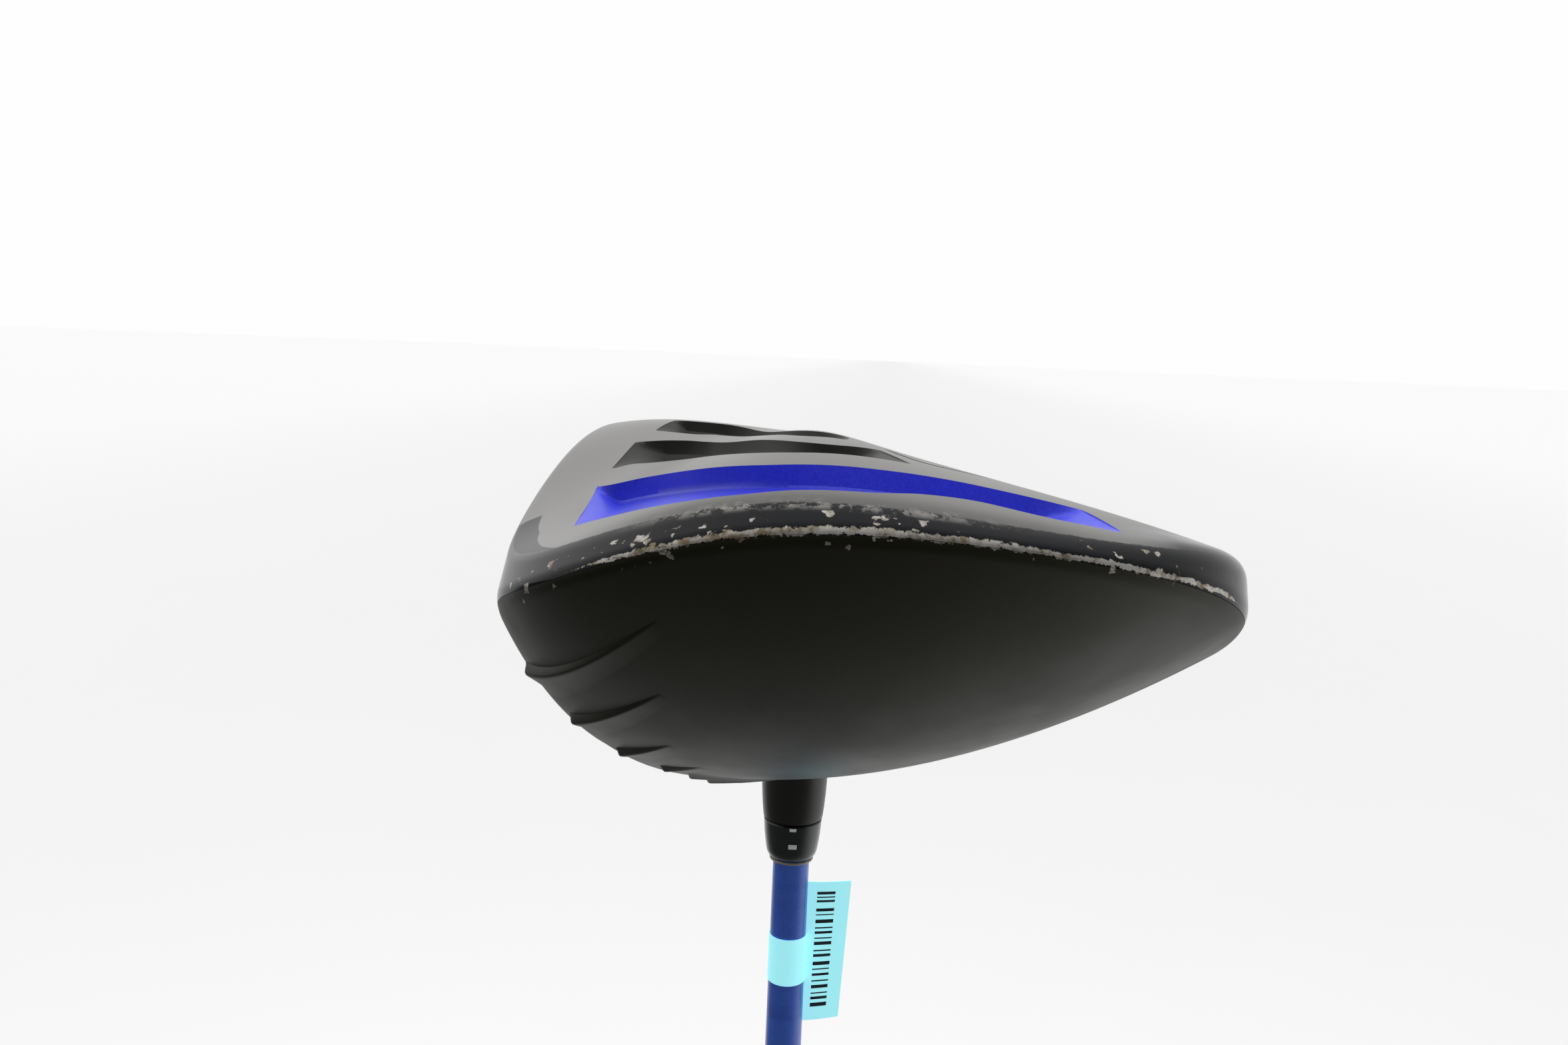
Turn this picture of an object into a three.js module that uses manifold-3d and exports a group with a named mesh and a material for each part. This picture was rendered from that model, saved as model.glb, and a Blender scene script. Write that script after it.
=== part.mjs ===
// A right-handed golf driver: hollow titanium head, captive-screw shaft adapter, graphite shaft and rubber
// grip.
//
// Part frame, in millimetres: the shaft's axis is Z, the origin is the middle of the grip's butt end, and the
// head is at the top. The head is laid out in its own frame, which a tilted group carries: X runs rearward from
// the face, Y to the toe, Z up from the ground, and the shaft's axis meets the ground at its origin.
import * as THREE from "three";
import { mergeVertices } from "three/addons/utils/BufferGeometryUtils.js";
import Module from "manifold-3d";

const wasm = await Module();
wasm.setup();

// ---------------------------------------------------------------- driving dimensions

const CLUB_LENGTH = 1162;
const LIE_ANGLE = THREE.MathUtils.degToRad(58);
const GAP = 0.3; // clear space between two pieces that fit together

// Head outlines: corner points of two closed splines, each [rearward, toeward, up], from the middle of the
// face round by the toe, the trailing edge and the heel.
const CROWN_EDGE = [
  [-5, 41, 51],
  [-3.5, 67.5, 50],
  [2, 89, 50.5],
  [25, 103.5, 51.5],
  [58.5, 108.5, 39.5],
  [94.5, 84.5, 29.5],
  [109.5, 47.5, 19],
  [91, 9.5, 16],
  [56, -13, 21],
  [22, -23, 31],
  [-2, -24, 41],
  [-5, 12, 51],
];
const SOLE_EDGE = [
  [-15, 53, -1.5],
  [-13, 69, 9.5],
  [-6, 81, 40.5],
  [18.5, 100, 47.5],
  [55.5, 106, 32.5],
  [95, 80, 26.5],
  [107, 49, 9],
  [89.5, 11, 7.5],
  [54, -10.5, 10.5],
  [17, -14, 11.5],
  [-14, -8, 8.5],
  [-16.5, 25.5, 0],
];
const CROWN_APEX = new THREE.Vector3(12, 55, 62.2);
const SOLE_POLE = new THREE.Vector3(32.4, 52.7, 0);
const SOLE_SOFTNESS = 0.33; // share of the sole's width over which its middle is rounded
// How far the sole swells outward at each place, in mm: [outer half, inner half] of the way from its pole.
const SOLE_SWELL = [
  [1, -0.5], [2.85, 0], [3.1, 1], [2.4, 0], [1.6, -1.6], [1, -2.2],
  [0, -1.2], [0.1, -0.4], [0.3, -0.3], [0.5, -0.2], [0.6, -0.2], [0.8, -0.2],
];
const EDGE_ROUNDING = 2.5; // half the width over which an edge of the head is rounded
const SKIN = 1.2; // wall of the body and the crown
const FACE_THICKNESS = 3;
const SEAM = 0.5; // open joint round the crown's edge
const LEDGE_REACH = 3.5; // how far the body's ledge runs under the crown
const LEDGE_THICKNESS = 0.8;
const BOND_LINE = 0.5; // space between the ledge and the crown, which glue would fill

// Channels in the sole's toe side, seen in plan: [rearward, toeward] points along both of their long edges,
// from front to rear, and the depth of the floor. The heel's channels mirror them, drawn in to the middle.
const CHANNELS = [
  {
    inner: [[2.4, 61], [10, 60.5], [20, 61], [31, 65.3], [42, 67.5]],
    outer: [[2.2, 65.2], [12, 65], [22, 68], [32, 71.3], [45.5, 70]],
    depth: 1.2,
  },
  {
    inner: [[1.3, 67.8], [14, 68], [30, 75], [42, 78.3], [52, 73]],
    outer: [[2.8, 72.8], [16, 74], [31, 81.9], [44, 85.5], [60, 78]],
    depth: 1.4,
  },
  {
    inner: [[4.7, 76.4], [24, 83.5], [46, 91.2], [65, 82.6], [83.2, 68.3]],
    outer: [[17.5, 91.5], [38, 98.8], [53, 98.4], [73, 86], [90.5, 73.5]],
    depth: 2.6,
  },
];
const HEEL_MIRROR = 43; // toeward place of the line that the heel's channels mirror across
const HEEL_SCALE = 0.85;
const CHANNEL_STEPS = 7; // straight pieces along each long edge

// Raised ridges along the front of the crown, toe side: [rearward, toeward] of the tall end, and length.
const RIDGES = [
  { start: [7.3, 78], length: 37 },
  { start: [11, 68], length: 26 },
  { start: [13, 56], length: 16 },
];
const RIDGE_SPLAY = THREE.MathUtils.degToRad(27); // how far a ridge turns outward from straight back
const RIDGE_HEIGHT = 1.5;
const RIDGE_FOOT = 5; // width of the gentle side
const RIDGE_STEEP = 1.1; // width of the steep side
const RIDGE_MIRROR = 44; // toeward place of the line that the heel's ridges mirror across
const RIDGE_ROOT = 0.9; // how deep a ridge's foot is let into the crown

// Glue pad inside the sole: its [rearward, toeward] place and size.
const PAD_PLACE = [60, 45];
const PAD_RADIUS = 8;
const PAD_THICKNESS = 2;

// Face plate: an ellipse in the face, seen square on.
const FACE_CENTRE = [34, 26];
const FACE_RADII = [33, 19];
const FACE_TILT = THREE.MathUtils.degToRad(14);

// Stations along the shaft's axis, in mm up from the ground.
const PORT_MOUTH = 11; // sole end of the hosel tube
const SEAT_LOW = 21; // the seat that the screw pulls against
const SEAT_HIGH = 24;
const SHAFT_TIP = 45.3;
const HOSEL_TOP = 62.6;
const SLEEVE_FLANGE = 0.5;
const FERRULE_TOP = 72;
const HOSEL_RADIUS = 7.6;
const HOSEL_TOP_RADIUS = 6.7;
const HOSEL_BORE = 5.5;
const SLEEVE_RADIUS = HOSEL_BORE - GAP;
const TIP_RADIUS = 4.2;
const SCREW_SHANK = 2.2;
const SCREW_HEAD = 4.4;

// Back weight.
const WEIGHT_MOUTH = new THREE.Vector3(81.66, 46.5, 7.1); // middle of the port's mouth
const WEIGHT_INWARD = new THREE.Vector3(-0.178221, -0.173379, 0.968595); // square to the sole there
const WEIGHT_RADIUS = 8;
const WEIGHT_HEIGHT = 8;
const WEIGHT_SINK = 0.8; // its face is this far inside the port
const WEIGHT_BOSS = 8; // length of the boss behind the port
const WEIGHT_SCREW_HEAD = 3.6;
const WEIGHT_SCREW_SHANK = 1.9;
const INSERT_RADIUS = 3.6;

// Shaft, grip and label, in mm up from the butt.
const SHAFT_BUTT = 6;
const BUTT_RADIUS = 7.6;
const SHAFT_WALL = 1.1;
const TAPER_START = 150;
const TAPE_THICKNESS = 0.5;
const GRIP_LENGTH = 267;
const CAP_RADIUS = 13.4;
const CAP_THICKNESS = 4;
const VENT_RADIUS = 0.9;
const VENT_OFFSET = 6;
const LABEL_HEIGHT = 30;
const LABEL_BAND = 11.3;
const LABEL_MIDDLE = CLUB_LENGTH - 97;
const LABEL_THICKNESS = 0.35;
const FLAG_REACH = 14;
const FLAG_DIRECTION = THREE.MathUtils.degToRad(31);

const ROUND = 24; // sides of a turned piece
const COLUMNS = 48; // sides of the head

// ---------------------------------------------------------------- solids

function solid(geometry) {
  const bare = geometry.clone();
  bare.deleteAttribute("normal");
  bare.deleteAttribute("uv");
  const merged = mergeVertices(bare, 1e-4);
  const mesh = new wasm.Mesh({
    numProp: 3,
    vertProperties: new Float32Array(merged.attributes.position.array),
    triVerts: new Uint32Array(merged.index.array),
  });
  return new wasm.Manifold(mesh);
}

function geometryOf(manifold) {
  const mesh = manifold.getMesh();
  const geometry = new THREE.BufferGeometry();
  geometry.setAttribute("position", new THREE.BufferAttribute(new Float32Array(mesh.vertProperties), 3));
  geometry.setIndex(new THREE.BufferAttribute(new Uint32Array(mesh.triVerts), 1));
  geometry.computeVertexNormals();
  return geometry;
}

// A solid turned about Z from [radius, height] points, which run round the section anticlockwise.
function turned(points, sides = ROUND) {
  const profile = points.map(([radius, height]) => new THREE.Vector2(radius, height));
  return new THREE.LatheGeometry(profile, sides).rotateX(Math.PI / 2);
}

function ring(inner, outer, low, high, sides = ROUND) {
  return turned([[inner, low], [outer, low], [outer, high], [inner, high], [inner, low]], sides);
}

function rod(radius, low, high, sides = ROUND) {
  return turned([[0, low], [radius, low], [radius, high], [0, high]], sides);
}

// Turns a solid drawn along Z, with stations as heights, on to the shaft's axis in the head's frame.
function alongAxis(geometry) {
  return geometry.rotateX(Math.PI / 2 - LIE_ANGLE);
}

// The same piece in the part's frame, where stations run down from the head to the butt.
function stationed(points, sides = ROUND) {
  const flipped = points.map(([radius, station]) => [radius, CLUB_LENGTH - station]).reverse();
  return turned(flipped, sides);
}

// ---------------------------------------------------------------- the head's skin

// A closed uniform cubic spline through the neighbourhood of its corner points.
function loopPoint(corners, place) {
  const count = corners.length;
  const first = Math.floor(place);
  const u = place - first;
  const weights = [(1 - u) ** 3, 3 * u ** 3 - 6 * u ** 2 + 4, -3 * u ** 3 + 3 * u ** 2 + 3 * u + 1, u ** 3];
  const point = new THREE.Vector3();
  weights.forEach((weight, i) => {
    const corner = corners[(first - 1 + i + count) % count];
    point.addScaledVector(new THREE.Vector3(...corner), weight / 6);
  });
  return point;
}

// How far a line has risen from its pole at a fraction of the way to the edge, from 0 to 1.
const crownRise = (fraction) => fraction ** 2;
const soleRise = (fraction) =>
  (Math.hypot(fraction, SOLE_SOFTNESS) - SOLE_SOFTNESS) / (Math.hypot(1, SOLE_SOFTNESS) - SOLE_SOFTNESS);

function bowl(pole, edge, fraction, rise) {
  const height = pole.z + (edge.z - pole.z) * rise(fraction);
  return new THREE.Vector3().lerpVectors(pole, edge, fraction).setZ(height);
}

// The sole's point at a place round the outline and a fraction of the way out from its pole.
function solePoint(place, fraction) {
  const swell = loopPoint(SOLE_SWELL.map(([outer, inner]) => [outer, inner, 0]), place);
  const outward = 6.75 * fraction ** 2 * (1 - fraction);
  const inward = 6.75 * fraction * (1 - fraction) ** 2 * Math.min(1, fraction / 0.15);
  const point = bowl(SOLE_POLE, loopPoint(SOLE_EDGE, place), fraction, soleRise);
  return point.setZ(point.z - swell.x * outward - swell.y * inward);
}

// The head's section line at a place round the outline, from the crown's apex over both edges to the sole's
// pole. Levels count along it: 0 to 1 is the crown, 1 to 2 the skirt or the face, 2 to 3 the sole.
const SECTION_STEPS = 30;
class Section {
  constructor(place) {
    const crownEdge = loopPoint(CROWN_EDGE, place);
    const soleEdge = loopPoint(SOLE_EDGE, place);
    this.points = [];
    for (let i = 0; i <= 3 * SECTION_STEPS; i++) {
      const level = i / SECTION_STEPS;
      if (level < 1) this.points.push(bowl(CROWN_APEX, crownEdge, level, crownRise));
      else if (level < 2) this.points.push(new THREE.Vector3().lerpVectors(crownEdge, soleEdge, level - 1));
      else this.points.push(solePoint(place, 3 - level));
    }
    this.lengths = [0];
    for (let i = 1; i < this.points.length; i++)
      this.lengths.push(this.lengths[i - 1] + this.points[i].distanceTo(this.points[i - 1]));
    this.total = this.lengths.at(-1);
  }

  lengthAt(level) {
    const i = Math.min(Math.floor(level * SECTION_STEPS), this.points.length - 2);
    return THREE.MathUtils.lerp(this.lengths[i], this.lengths[i + 1], level * SECTION_STEPS - i);
  }

  sharp(length) {
    let i = 1;
    while (i < this.lengths.length - 1 && this.lengths[i] < length) i++;
    const share = (length - this.lengths[i - 1]) / (this.lengths[i] - this.lengths[i - 1]);
    return new THREE.Vector3().lerpVectors(this.points[i - 1], this.points[i], share);
  }

  // The point with the edges rounded: the mean of the sharp line over a short stretch on both sides.
  rounded(length) {
    const reach = Math.min(EDGE_ROUNDING, length, this.total - length);
    const mean = new THREE.Vector3();
    const offsets = [-1, -0.5, 0, 0.5, 1];
    offsets.forEach((o) => mean.addScaledVector(this.sharp(length + o * reach), 1 / offsets.length));
    return mean;
  }
}

const PLACE_STEP = 0.02;
const LENGTH_STEP = 0.4;

// One column of the head: its section line with those just before and after, for the skin's direction.
class Column {
  constructor(place) {
    this.section = new Section(place);
    this.before = new Section((place - PLACE_STEP + 12) % 12);
    this.after = new Section((place + PLACE_STEP) % 12);
    this.edge = this.section.lengthAt(1);
  }

  // A point at a length along the section, let in by an inset from the skin.
  at(length, inset = 0) {
    const { total } = this.section;
    const point = this.section.rounded(length);
    const pole = length <= 0 ? 1 : length >= total ? -1 : 0;
    const normal = new THREE.Vector3(0, 0, pole);
    if (!pole) {
      const share = length / total;
      const across = this.after.rounded(share * this.after.total);
      across.sub(this.before.rounded(share * this.before.total));
      const along = this.section.rounded(Math.min(length + LENGTH_STEP, total));
      along.sub(this.section.rounded(Math.max(length - LENGTH_STEP, 0)));
      normal.crossVectors(across, along).normalize();
    }
    return point.addScaledVector(normal, -inset);
  }
}

const columns = Array.from({ length: COLUMNS }, (_, i) => new Column((12 * i) / COLUMNS));

// A closed skin from one line of points per column. The lines share their first and their last point.
function skin(lines) {
  const rows = lines[0].length;
  const positions = [];
  const index = [];
  const first = 0;
  const last = 1;
  const at = (column, row) => {
    if (row === 0) return first;
    if (row === rows - 1) return last;
    return 2 + (column % lines.length) * (rows - 2) + row - 1;
  };
  positions.push(...lines[0][0].toArray(), ...lines[0][rows - 1].toArray());
  lines.forEach((line) => line.slice(1, -1).forEach((point) => positions.push(...point.toArray())));
  for (let column = 0; column < lines.length; column++)
    for (let row = 0; row < rows - 1; row++) {
      const [a, b] = [at(column, row), at(column + 1, row)];
      const [c, d] = [at(column + 1, row + 1), at(column, row + 1)];
      if (row > 0) index.push(a, b, d);
      if (row < rows - 2) index.push(b, c, d);
    }
  const geometry = new THREE.BufferGeometry();
  geometry.setAttribute("position", new THREE.Float32BufferAttribute(positions, 3));
  geometry.setIndex(index);
  return solid(geometry);
}

const CROWN_LEVELS = [0.2, 0.4, 0.6, 0.8];
const SKIRT_LEVELS = [0.35, 0.7, 1];
const SOLE_FRACTIONS = [0.97, 0.8, 0.62, 0.44, 0.28, 0.14];

function crownLine(column, inset) {
  const lengths = CROWN_LEVELS.map((level) => column.section.lengthAt(level));
  return [...lengths, column.edge - LEDGE_REACH].map((length) => column.at(length, inset));
}

function skirtLine(column, inset) {
  const start = column.edge;
  const end = column.section.lengthAt(2);
  return SKIRT_LEVELS.map((level) => column.at(THREE.MathUtils.lerp(start, end, level), inset));
}

function soleLine(column, inset) {
  return SOLE_FRACTIONS.map((fraction) => column.at(column.section.lengthAt(3 - fraction), inset));
}

// The whole head as one solid, with its skin let in by an inset.
function fullHead(inset) {
  return skin(
    columns.map((column) => [
      column.at(0, inset),
      ...crownLine(column, inset),
      column.at(column.edge, inset),
      ...skirtLine(column, inset),
      ...soleLine(column, inset),
      column.at(column.section.total, inset),
    ]),
  );
}

// ---------------------------------------------------------------- the head's pieces

function hoselHole() {
  return solid(alongAxis(rod(HOSEL_RADIUS + GAP, -10, HOSEL_TOP + 10)));
}

// The face plate's outline as a prism through the front of the head.
function facePrism(growth) {
  const outline = new THREE.Shape();
  const [across, up] = FACE_RADII.map((radius) => radius + growth);
  outline.absellipse(...FACE_CENTRE, across, up, 0, 2 * Math.PI, false, FACE_TILT);
  const prism = new THREE.ExtrudeGeometry(outline, { depth: 44, bevelEnabled: false, curveSegments: 16 });
  prism.translate(0, 0, -40);
  const rearward = new THREE.Vector3(1, 0, 0);
  const toeward = new THREE.Vector3(0, 1, 0);
  const upward = new THREE.Vector3(0, 0, 1);
  return solid(prism.applyMatrix4(new THREE.Matrix4().makeBasis(toeward, upward, rearward)));
}

function facePlate() {
  return facePrism(-GAP / 2).intersect(fullHead(0)).subtract(fullHead(FACE_THICKNESS));
}

// Where the back weight's port opens in the sole. Its own Z runs into the head.
const weightTurn = new THREE.Quaternion().setFromUnitVectors(new THREE.Vector3(0, 0, 1), WEIGHT_INWARD);
const weightFrame = new THREE.Matrix4().makeRotationFromQuaternion(weightTurn).setPosition(WEIGHT_MOUTH);

const PORT_DEPTH = WEIGHT_SINK + WEIGHT_HEIGHT + GAP;

function weightWell() {
  const cup = rod(WEIGHT_RADIUS + GAP + SKIN, -6, PORT_DEPTH + SKIN);
  const boss = rod(INSERT_RADIUS + GAP + SKIN, PORT_DEPTH, PORT_DEPTH + WEIGHT_BOSS);
  const trimmed = solid(cup.applyMatrix4(weightFrame)).intersect(fullHead(0));
  return trimmed.add(solid(boss.applyMatrix4(weightFrame)));
}

function weightPort() {
  const port = solid(rod(WEIGHT_RADIUS + GAP, -10, PORT_DEPTH).applyMatrix4(weightFrame));
  const socket = rod(INSERT_RADIUS + GAP, PORT_DEPTH - 1, PORT_DEPTH + WEIGHT_BOSS - SKIN);
  return port.add(solid(socket.applyMatrix4(weightFrame)));
}

// A channel's outline as an upright prism through the sole, grown on all sides.
function channelPrism({ inner, outer }, side, growth) {
  const mirrored = (y) => HEEL_MIRROR - (y - HEEL_MIRROR) * HEEL_SCALE;
  const toPlan = ([x, y]) => new THREE.Vector2(x, side > 0 ? y : mirrored(y));
  const edge = (points) => new THREE.SplineCurve(points.map(toPlan)).getPoints(CHANNEL_STEPS);
  const outline = [...edge(outer), ...edge(inner).reverse()];
  if (side < 0) outline.reverse();
  const grown = outline.map((point, i) => {
    const before = outline.at(i - 1);
    const after = outline[(i + 1) % outline.length];
    const along = after.clone().sub(before).normalize();
    return point.clone().add(new THREE.Vector2(-along.y, along.x).multiplyScalar(growth));
  });
  const prism = new THREE.ExtrudeGeometry(new THREE.Shape(grown), { depth: 80, bevelEnabled: false });
  return solid(prism.translate(0, 0, -20));
}

// A layer of the sole between two insets from its skin.
function soleLayer(outer, inner) {
  return skin(
    columns.map((column) => [
      column.at(column.section.total, inner),
      ...soleLine(column, inner).reverse(),
      ...soleLine(column, outer),
      column.at(column.section.total, outer),
    ]),
  );
}

// Lets the channels into the shell, with walls and floors of the skin's thickness behind them.
function cutChannels(shell) {
  let cut = shell;
  for (const channel of CHANNELS) {
    const tray = soleLayer(0, channel.depth + SKIN);
    const room = soleLayer(-1, channel.depth);
    for (const side of [1, -1]) {
      cut = cut.add(channelPrism(channel, side, SKIN).intersect(tray));
      cut = cut.subtract(channelPrism(channel, side, 0).intersect(room));
    }
  }
  return cut;
}

function soleShell() {
  const shell = skin(
    columns.map((column) => {
      const top = column.edge + SEAM / 2;
      const under = SKIN + BOND_LINE;
      const ledgeEnd = column.edge - LEDGE_REACH;
      return [
        column.at(column.section.total, SKIN),
        ...soleLine(column, SKIN).reverse(),
        ...skirtLine(column, SKIN).reverse().slice(0, -1),
        column.at(column.edge, under + LEDGE_THICKNESS),
        column.at(ledgeEnd, under + LEDGE_THICKNESS),
        column.at(ledgeEnd, under),
        column.at(top, under),
        column.at(top),
        ...skirtLine(column, 0),
        ...soleLine(column, 0),
        column.at(column.section.total),
      ];
    }),
  );
  const open = cutChannels(shell).subtract(facePrism(GAP / 2)).subtract(hoselHole());
  return open.add(weightWell()).subtract(weightPort());
}

// Height of the crown over a place in its plan.
function crownHeight(rearward, toeward) {
  const bearing = (x, y) => Math.atan2(y - CROWN_APEX.y, x - CROWN_APEX.x);
  const wanted = bearing(rearward, toeward);
  const turn = (edge) => Math.abs(Math.sin((bearing(edge.x, edge.y) - wanted) / 2));
  const edges = Array.from({ length: 480 }, (_, i) => loopPoint(CROWN_EDGE, i / 40));
  const edge = edges.reduce((best, next) => (turn(next) < turn(best) ? next : best));
  const reach = Math.hypot(edge.x - CROWN_APEX.x, edge.y - CROWN_APEX.y);
  const distance = Math.hypot(rearward - CROWN_APEX.x, toeward - CROWN_APEX.y);
  return bowl(CROWN_APEX, edge, distance / reach, crownRise).z;
}

// A ridge with a steep outer side and a gentle inner side, which runs down into the crown at its rear end.
function ridge({ start, length }, side) {
  const [rearward, toeward] = start;
  const from = side > 0 ? toeward : 2 * RIDGE_MIRROR - toeward;
  const sections = 5;
  const rings = Array.from({ length: sections }, (_, i) => {
    const share = i / sections;
    const x = rearward + share * length * Math.cos(RIDGE_SPLAY);
    const y = from + side * share * length * Math.sin(RIDGE_SPLAY);
    const point = (out, height) => {
      const px = x - out * Math.sin(RIDGE_SPLAY);
      const py = y + side * out * Math.cos(RIDGE_SPLAY);
      return new THREE.Vector3(px, py, crownHeight(px, py) + height);
    };
    const width = 1 - share;
    const corners = [
      point(RIDGE_STEEP * width, -RIDGE_ROOT),
      point(0, RIDGE_HEIGHT * (1 - share)),
      point(-RIDGE_FOOT * width, -RIDGE_ROOT),
    ];
    return side > 0 ? corners : corners.reverse();
  });
  const tipX = rearward + length * Math.cos(RIDGE_SPLAY);
  const tipY = from + side * length * Math.sin(RIDGE_SPLAY);
  const tip = new THREE.Vector3(tipX, tipY, crownHeight(tipX, tipY) - RIDGE_ROOT);
  const positions = [...rings.flat(), tip].flatMap((point) => point.toArray());
  const index = [0, 2, 1];
  for (let i = 0; i < sections - 1; i++)
    for (let k = 0; k < 3; k++) {
      const [a, b] = [3 * i + k, 3 * i + ((k + 1) % 3)];
      index.push(a, b, a + 3, b, b + 3, a + 3);
    }
  const last = 3 * (sections - 1);
  for (let k = 0; k < 3; k++) index.push(last + k, last + ((k + 1) % 3), 3 * sections);
  const geometry = new THREE.BufferGeometry();
  geometry.setAttribute("position", new THREE.Float32BufferAttribute(positions, 3));
  geometry.setIndex(index);
  return solid(geometry);
}

function crownShell() {
  let shell = skin(
    columns.map((column) => [
      column.at(0),
      ...crownLine(column, 0),
      column.at(column.edge - SEAM / 2),
      column.at(column.edge - SEAM / 2, SKIN),
      ...crownLine(column, SKIN).reverse(),
      column.at(0, SKIN),
    ]),
  );
  for (const side of [1, -1]) for (const shape of RIDGES) shell = shell.add(ridge(shape, side));
  return shell.subtract(hoselHole());
}

// The neck: a tube from the screw's port in the sole to the sleeve's flange, with the screw's seat inside it.
function hoselTube() {
  const wall = [
    [HOSEL_BORE, PORT_MOUTH],
    [HOSEL_RADIUS, PORT_MOUTH],
    [HOSEL_RADIUS, HOSEL_TOP - 14],
    [HOSEL_RADIUS - 0.15, HOSEL_TOP - 6.5],
    [HOSEL_TOP_RADIUS, HOSEL_TOP],
    [HOSEL_BORE, HOSEL_TOP],
    [HOSEL_BORE, SEAT_HIGH],
    [SCREW_SHANK + 0.7, SEAT_HIGH],
    [SCREW_SHANK + 0.7, SEAT_LOW],
    [HOSEL_BORE, SEAT_LOW],
    [HOSEL_BORE, PORT_MOUTH],
  ];
  return alongAxis(turned(wall));
}

// A small pad of sticky glue on the inside of the sole, which catches loose bits.
function hotMeltPad() {
  const layer = soleLayer(SKIN + GAP, SKIN + GAP + PAD_THICKNESS);
  return solid(rod(PAD_RADIUS, -20, 40).translate(...PAD_PLACE, 0)).intersect(layer);
}

// ---------------------------------------------------------------- turned pieces

// A hexagon socket sunk into a screw's head, from the given height down the Z axis.
function hexSocket(radius, low, high) {
  return solid(rod(radius, low, high, 6));
}

// The adapter's screw, pointing along +Z from its head, with stations as heights.
function hoselScrew() {
  const head = [SEAT_LOW - 5.8, SEAT_LOW - 1.7];
  const body = [[0, head[0]], [SCREW_HEAD, head[0]], [SCREW_HEAD, head[1]]];
  const shank = [[SCREW_SHANK, head[1]], [SCREW_SHANK, 39], [SCREW_SHANK - 0.6, 40], [0, 40]];
  const screw = solid(turned([...body, ...shank]));
  return screw.subtract(hexSocket(2.3, head[0] - 1, head[0] + 2.6));
}

function backWeight() {
  const [low, high] = [WEIGHT_SINK, WEIGHT_SINK + WEIGHT_HEIGHT];
  const section = [
    [WEIGHT_SCREW_HEAD + GAP, low],
    [WEIGHT_RADIUS - 0.6, low],
    [WEIGHT_RADIUS, low + 0.6],
    [WEIGHT_RADIUS, high],
    [WEIGHT_SCREW_SHANK + GAP, high],
    [WEIGHT_SCREW_SHANK + GAP, low + 3.6],
    [WEIGHT_SCREW_HEAD + GAP, low + 3.6],
    [WEIGHT_SCREW_HEAD + GAP, low],
  ];
  return turned(section);
}

function backWeightScrew() {
  const low = WEIGHT_SINK + 0.3;
  const seat = WEIGHT_SINK + 3.3;
  const tip = PORT_DEPTH + WEIGHT_BOSS - SKIN - 1;
  const body = [[0, low], [WEIGHT_SCREW_HEAD, low], [WEIGHT_SCREW_HEAD, seat], [WEIGHT_SCREW_SHANK, seat]];
  const screw = solid(turned([...body, [WEIGHT_SCREW_SHANK, tip], [0, tip]]));
  return screw.subtract(hexSocket(2, low - 1, low + 2));
}

// The sleeve: bonded round the shaft's tip, open at its lower end for the adapter's screw, and flanged where
// it rests on the neck.
function adapterSleeve() {
  const flange = HOSEL_TOP + GAP;
  return stationed([
    [SCREW_SHANK + 0.35, SEAT_HIGH + GAP],
    [SLEEVE_RADIUS - 0.5, SEAT_HIGH + GAP],
    [SLEEVE_RADIUS, SEAT_HIGH + GAP + 0.5],
    [SLEEVE_RADIUS, flange],
    [HOSEL_TOP_RADIUS, flange],
    [HOSEL_TOP_RADIUS, flange + SLEEVE_FLANGE],
    [SLEEVE_RADIUS, flange + SLEEVE_FLANGE],
    [SLEEVE_RADIUS, FERRULE_TOP - 3],
    [TIP_RADIUS + 0.3, FERRULE_TOP - 3],
    [TIP_RADIUS + 0.3, SHAFT_TIP - 0.5],
    [SCREW_SHANK + 0.35, SHAFT_TIP - 1.5],
    [SCREW_SHANK + 0.35, SEAT_HIGH + GAP],
  ]);
}

function ferrule() {
  const low = HOSEL_TOP + SLEEVE_FLANGE + 2 * GAP;
  return stationed([
    [SLEEVE_RADIUS + 0.2, low],
    [HOSEL_TOP_RADIUS, low],
    [6.05, FERRULE_TOP - 2.6],
    [5.8, FERRULE_TOP - 1.4],
    [5.3, FERRULE_TOP - 0.5],
    [4.9, FERRULE_TOP],
    [TIP_RADIUS + 0.35, FERRULE_TOP],
    [TIP_RADIUS + 0.35, FERRULE_TOP - 2.6],
    [SLEEVE_RADIUS + 0.2, FERRULE_TOP - 2.6],
    [SLEEVE_RADIUS + 0.2, low],
  ]);
}

// Outside radius of the shaft at a height above the butt.
function shaftRadius(height) {
  const taperEnd = CLUB_LENGTH - FERRULE_TOP;
  const share = THREE.MathUtils.clamp((taperEnd - height) / (taperEnd - TAPER_START), 0, 1);
  return TIP_RADIUS + (BUTT_RADIUS - TIP_RADIUS) * share ** 1.25;
}

function shaft() {
  const tip = CLUB_LENGTH - SHAFT_TIP;
  const heights = [SHAFT_BUTT, TAPER_START, 400, 650, 850, 1000, CLUB_LENGTH - FERRULE_TOP, tip];
  const outside = heights.map((height) => [shaftRadius(height), height]);
  const inside = heights.map((height) => [shaftRadius(height) - SHAFT_WALL, height]).reverse();
  return turned([...outside, ...inside, outside[0]]);
}

function gripTape() {
  const radius = BUTT_RADIUS + GAP;
  const inner = (height) => Math.max(shaftRadius(height) + GAP, radius - 0.6);
  const [low, high] = [SHAFT_BUTT + 2, GRIP_LENGTH - 5];
  return turned([
    [radius + TAPE_THICKNESS, low],
    [inner(high) + TAPE_THICKNESS, high],
    [inner(high), high],
    [radius, low],
    [radius + TAPE_THICKNESS, low],
  ]);
}

const CAP_TOP = CAP_THICKNESS + GAP;

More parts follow.
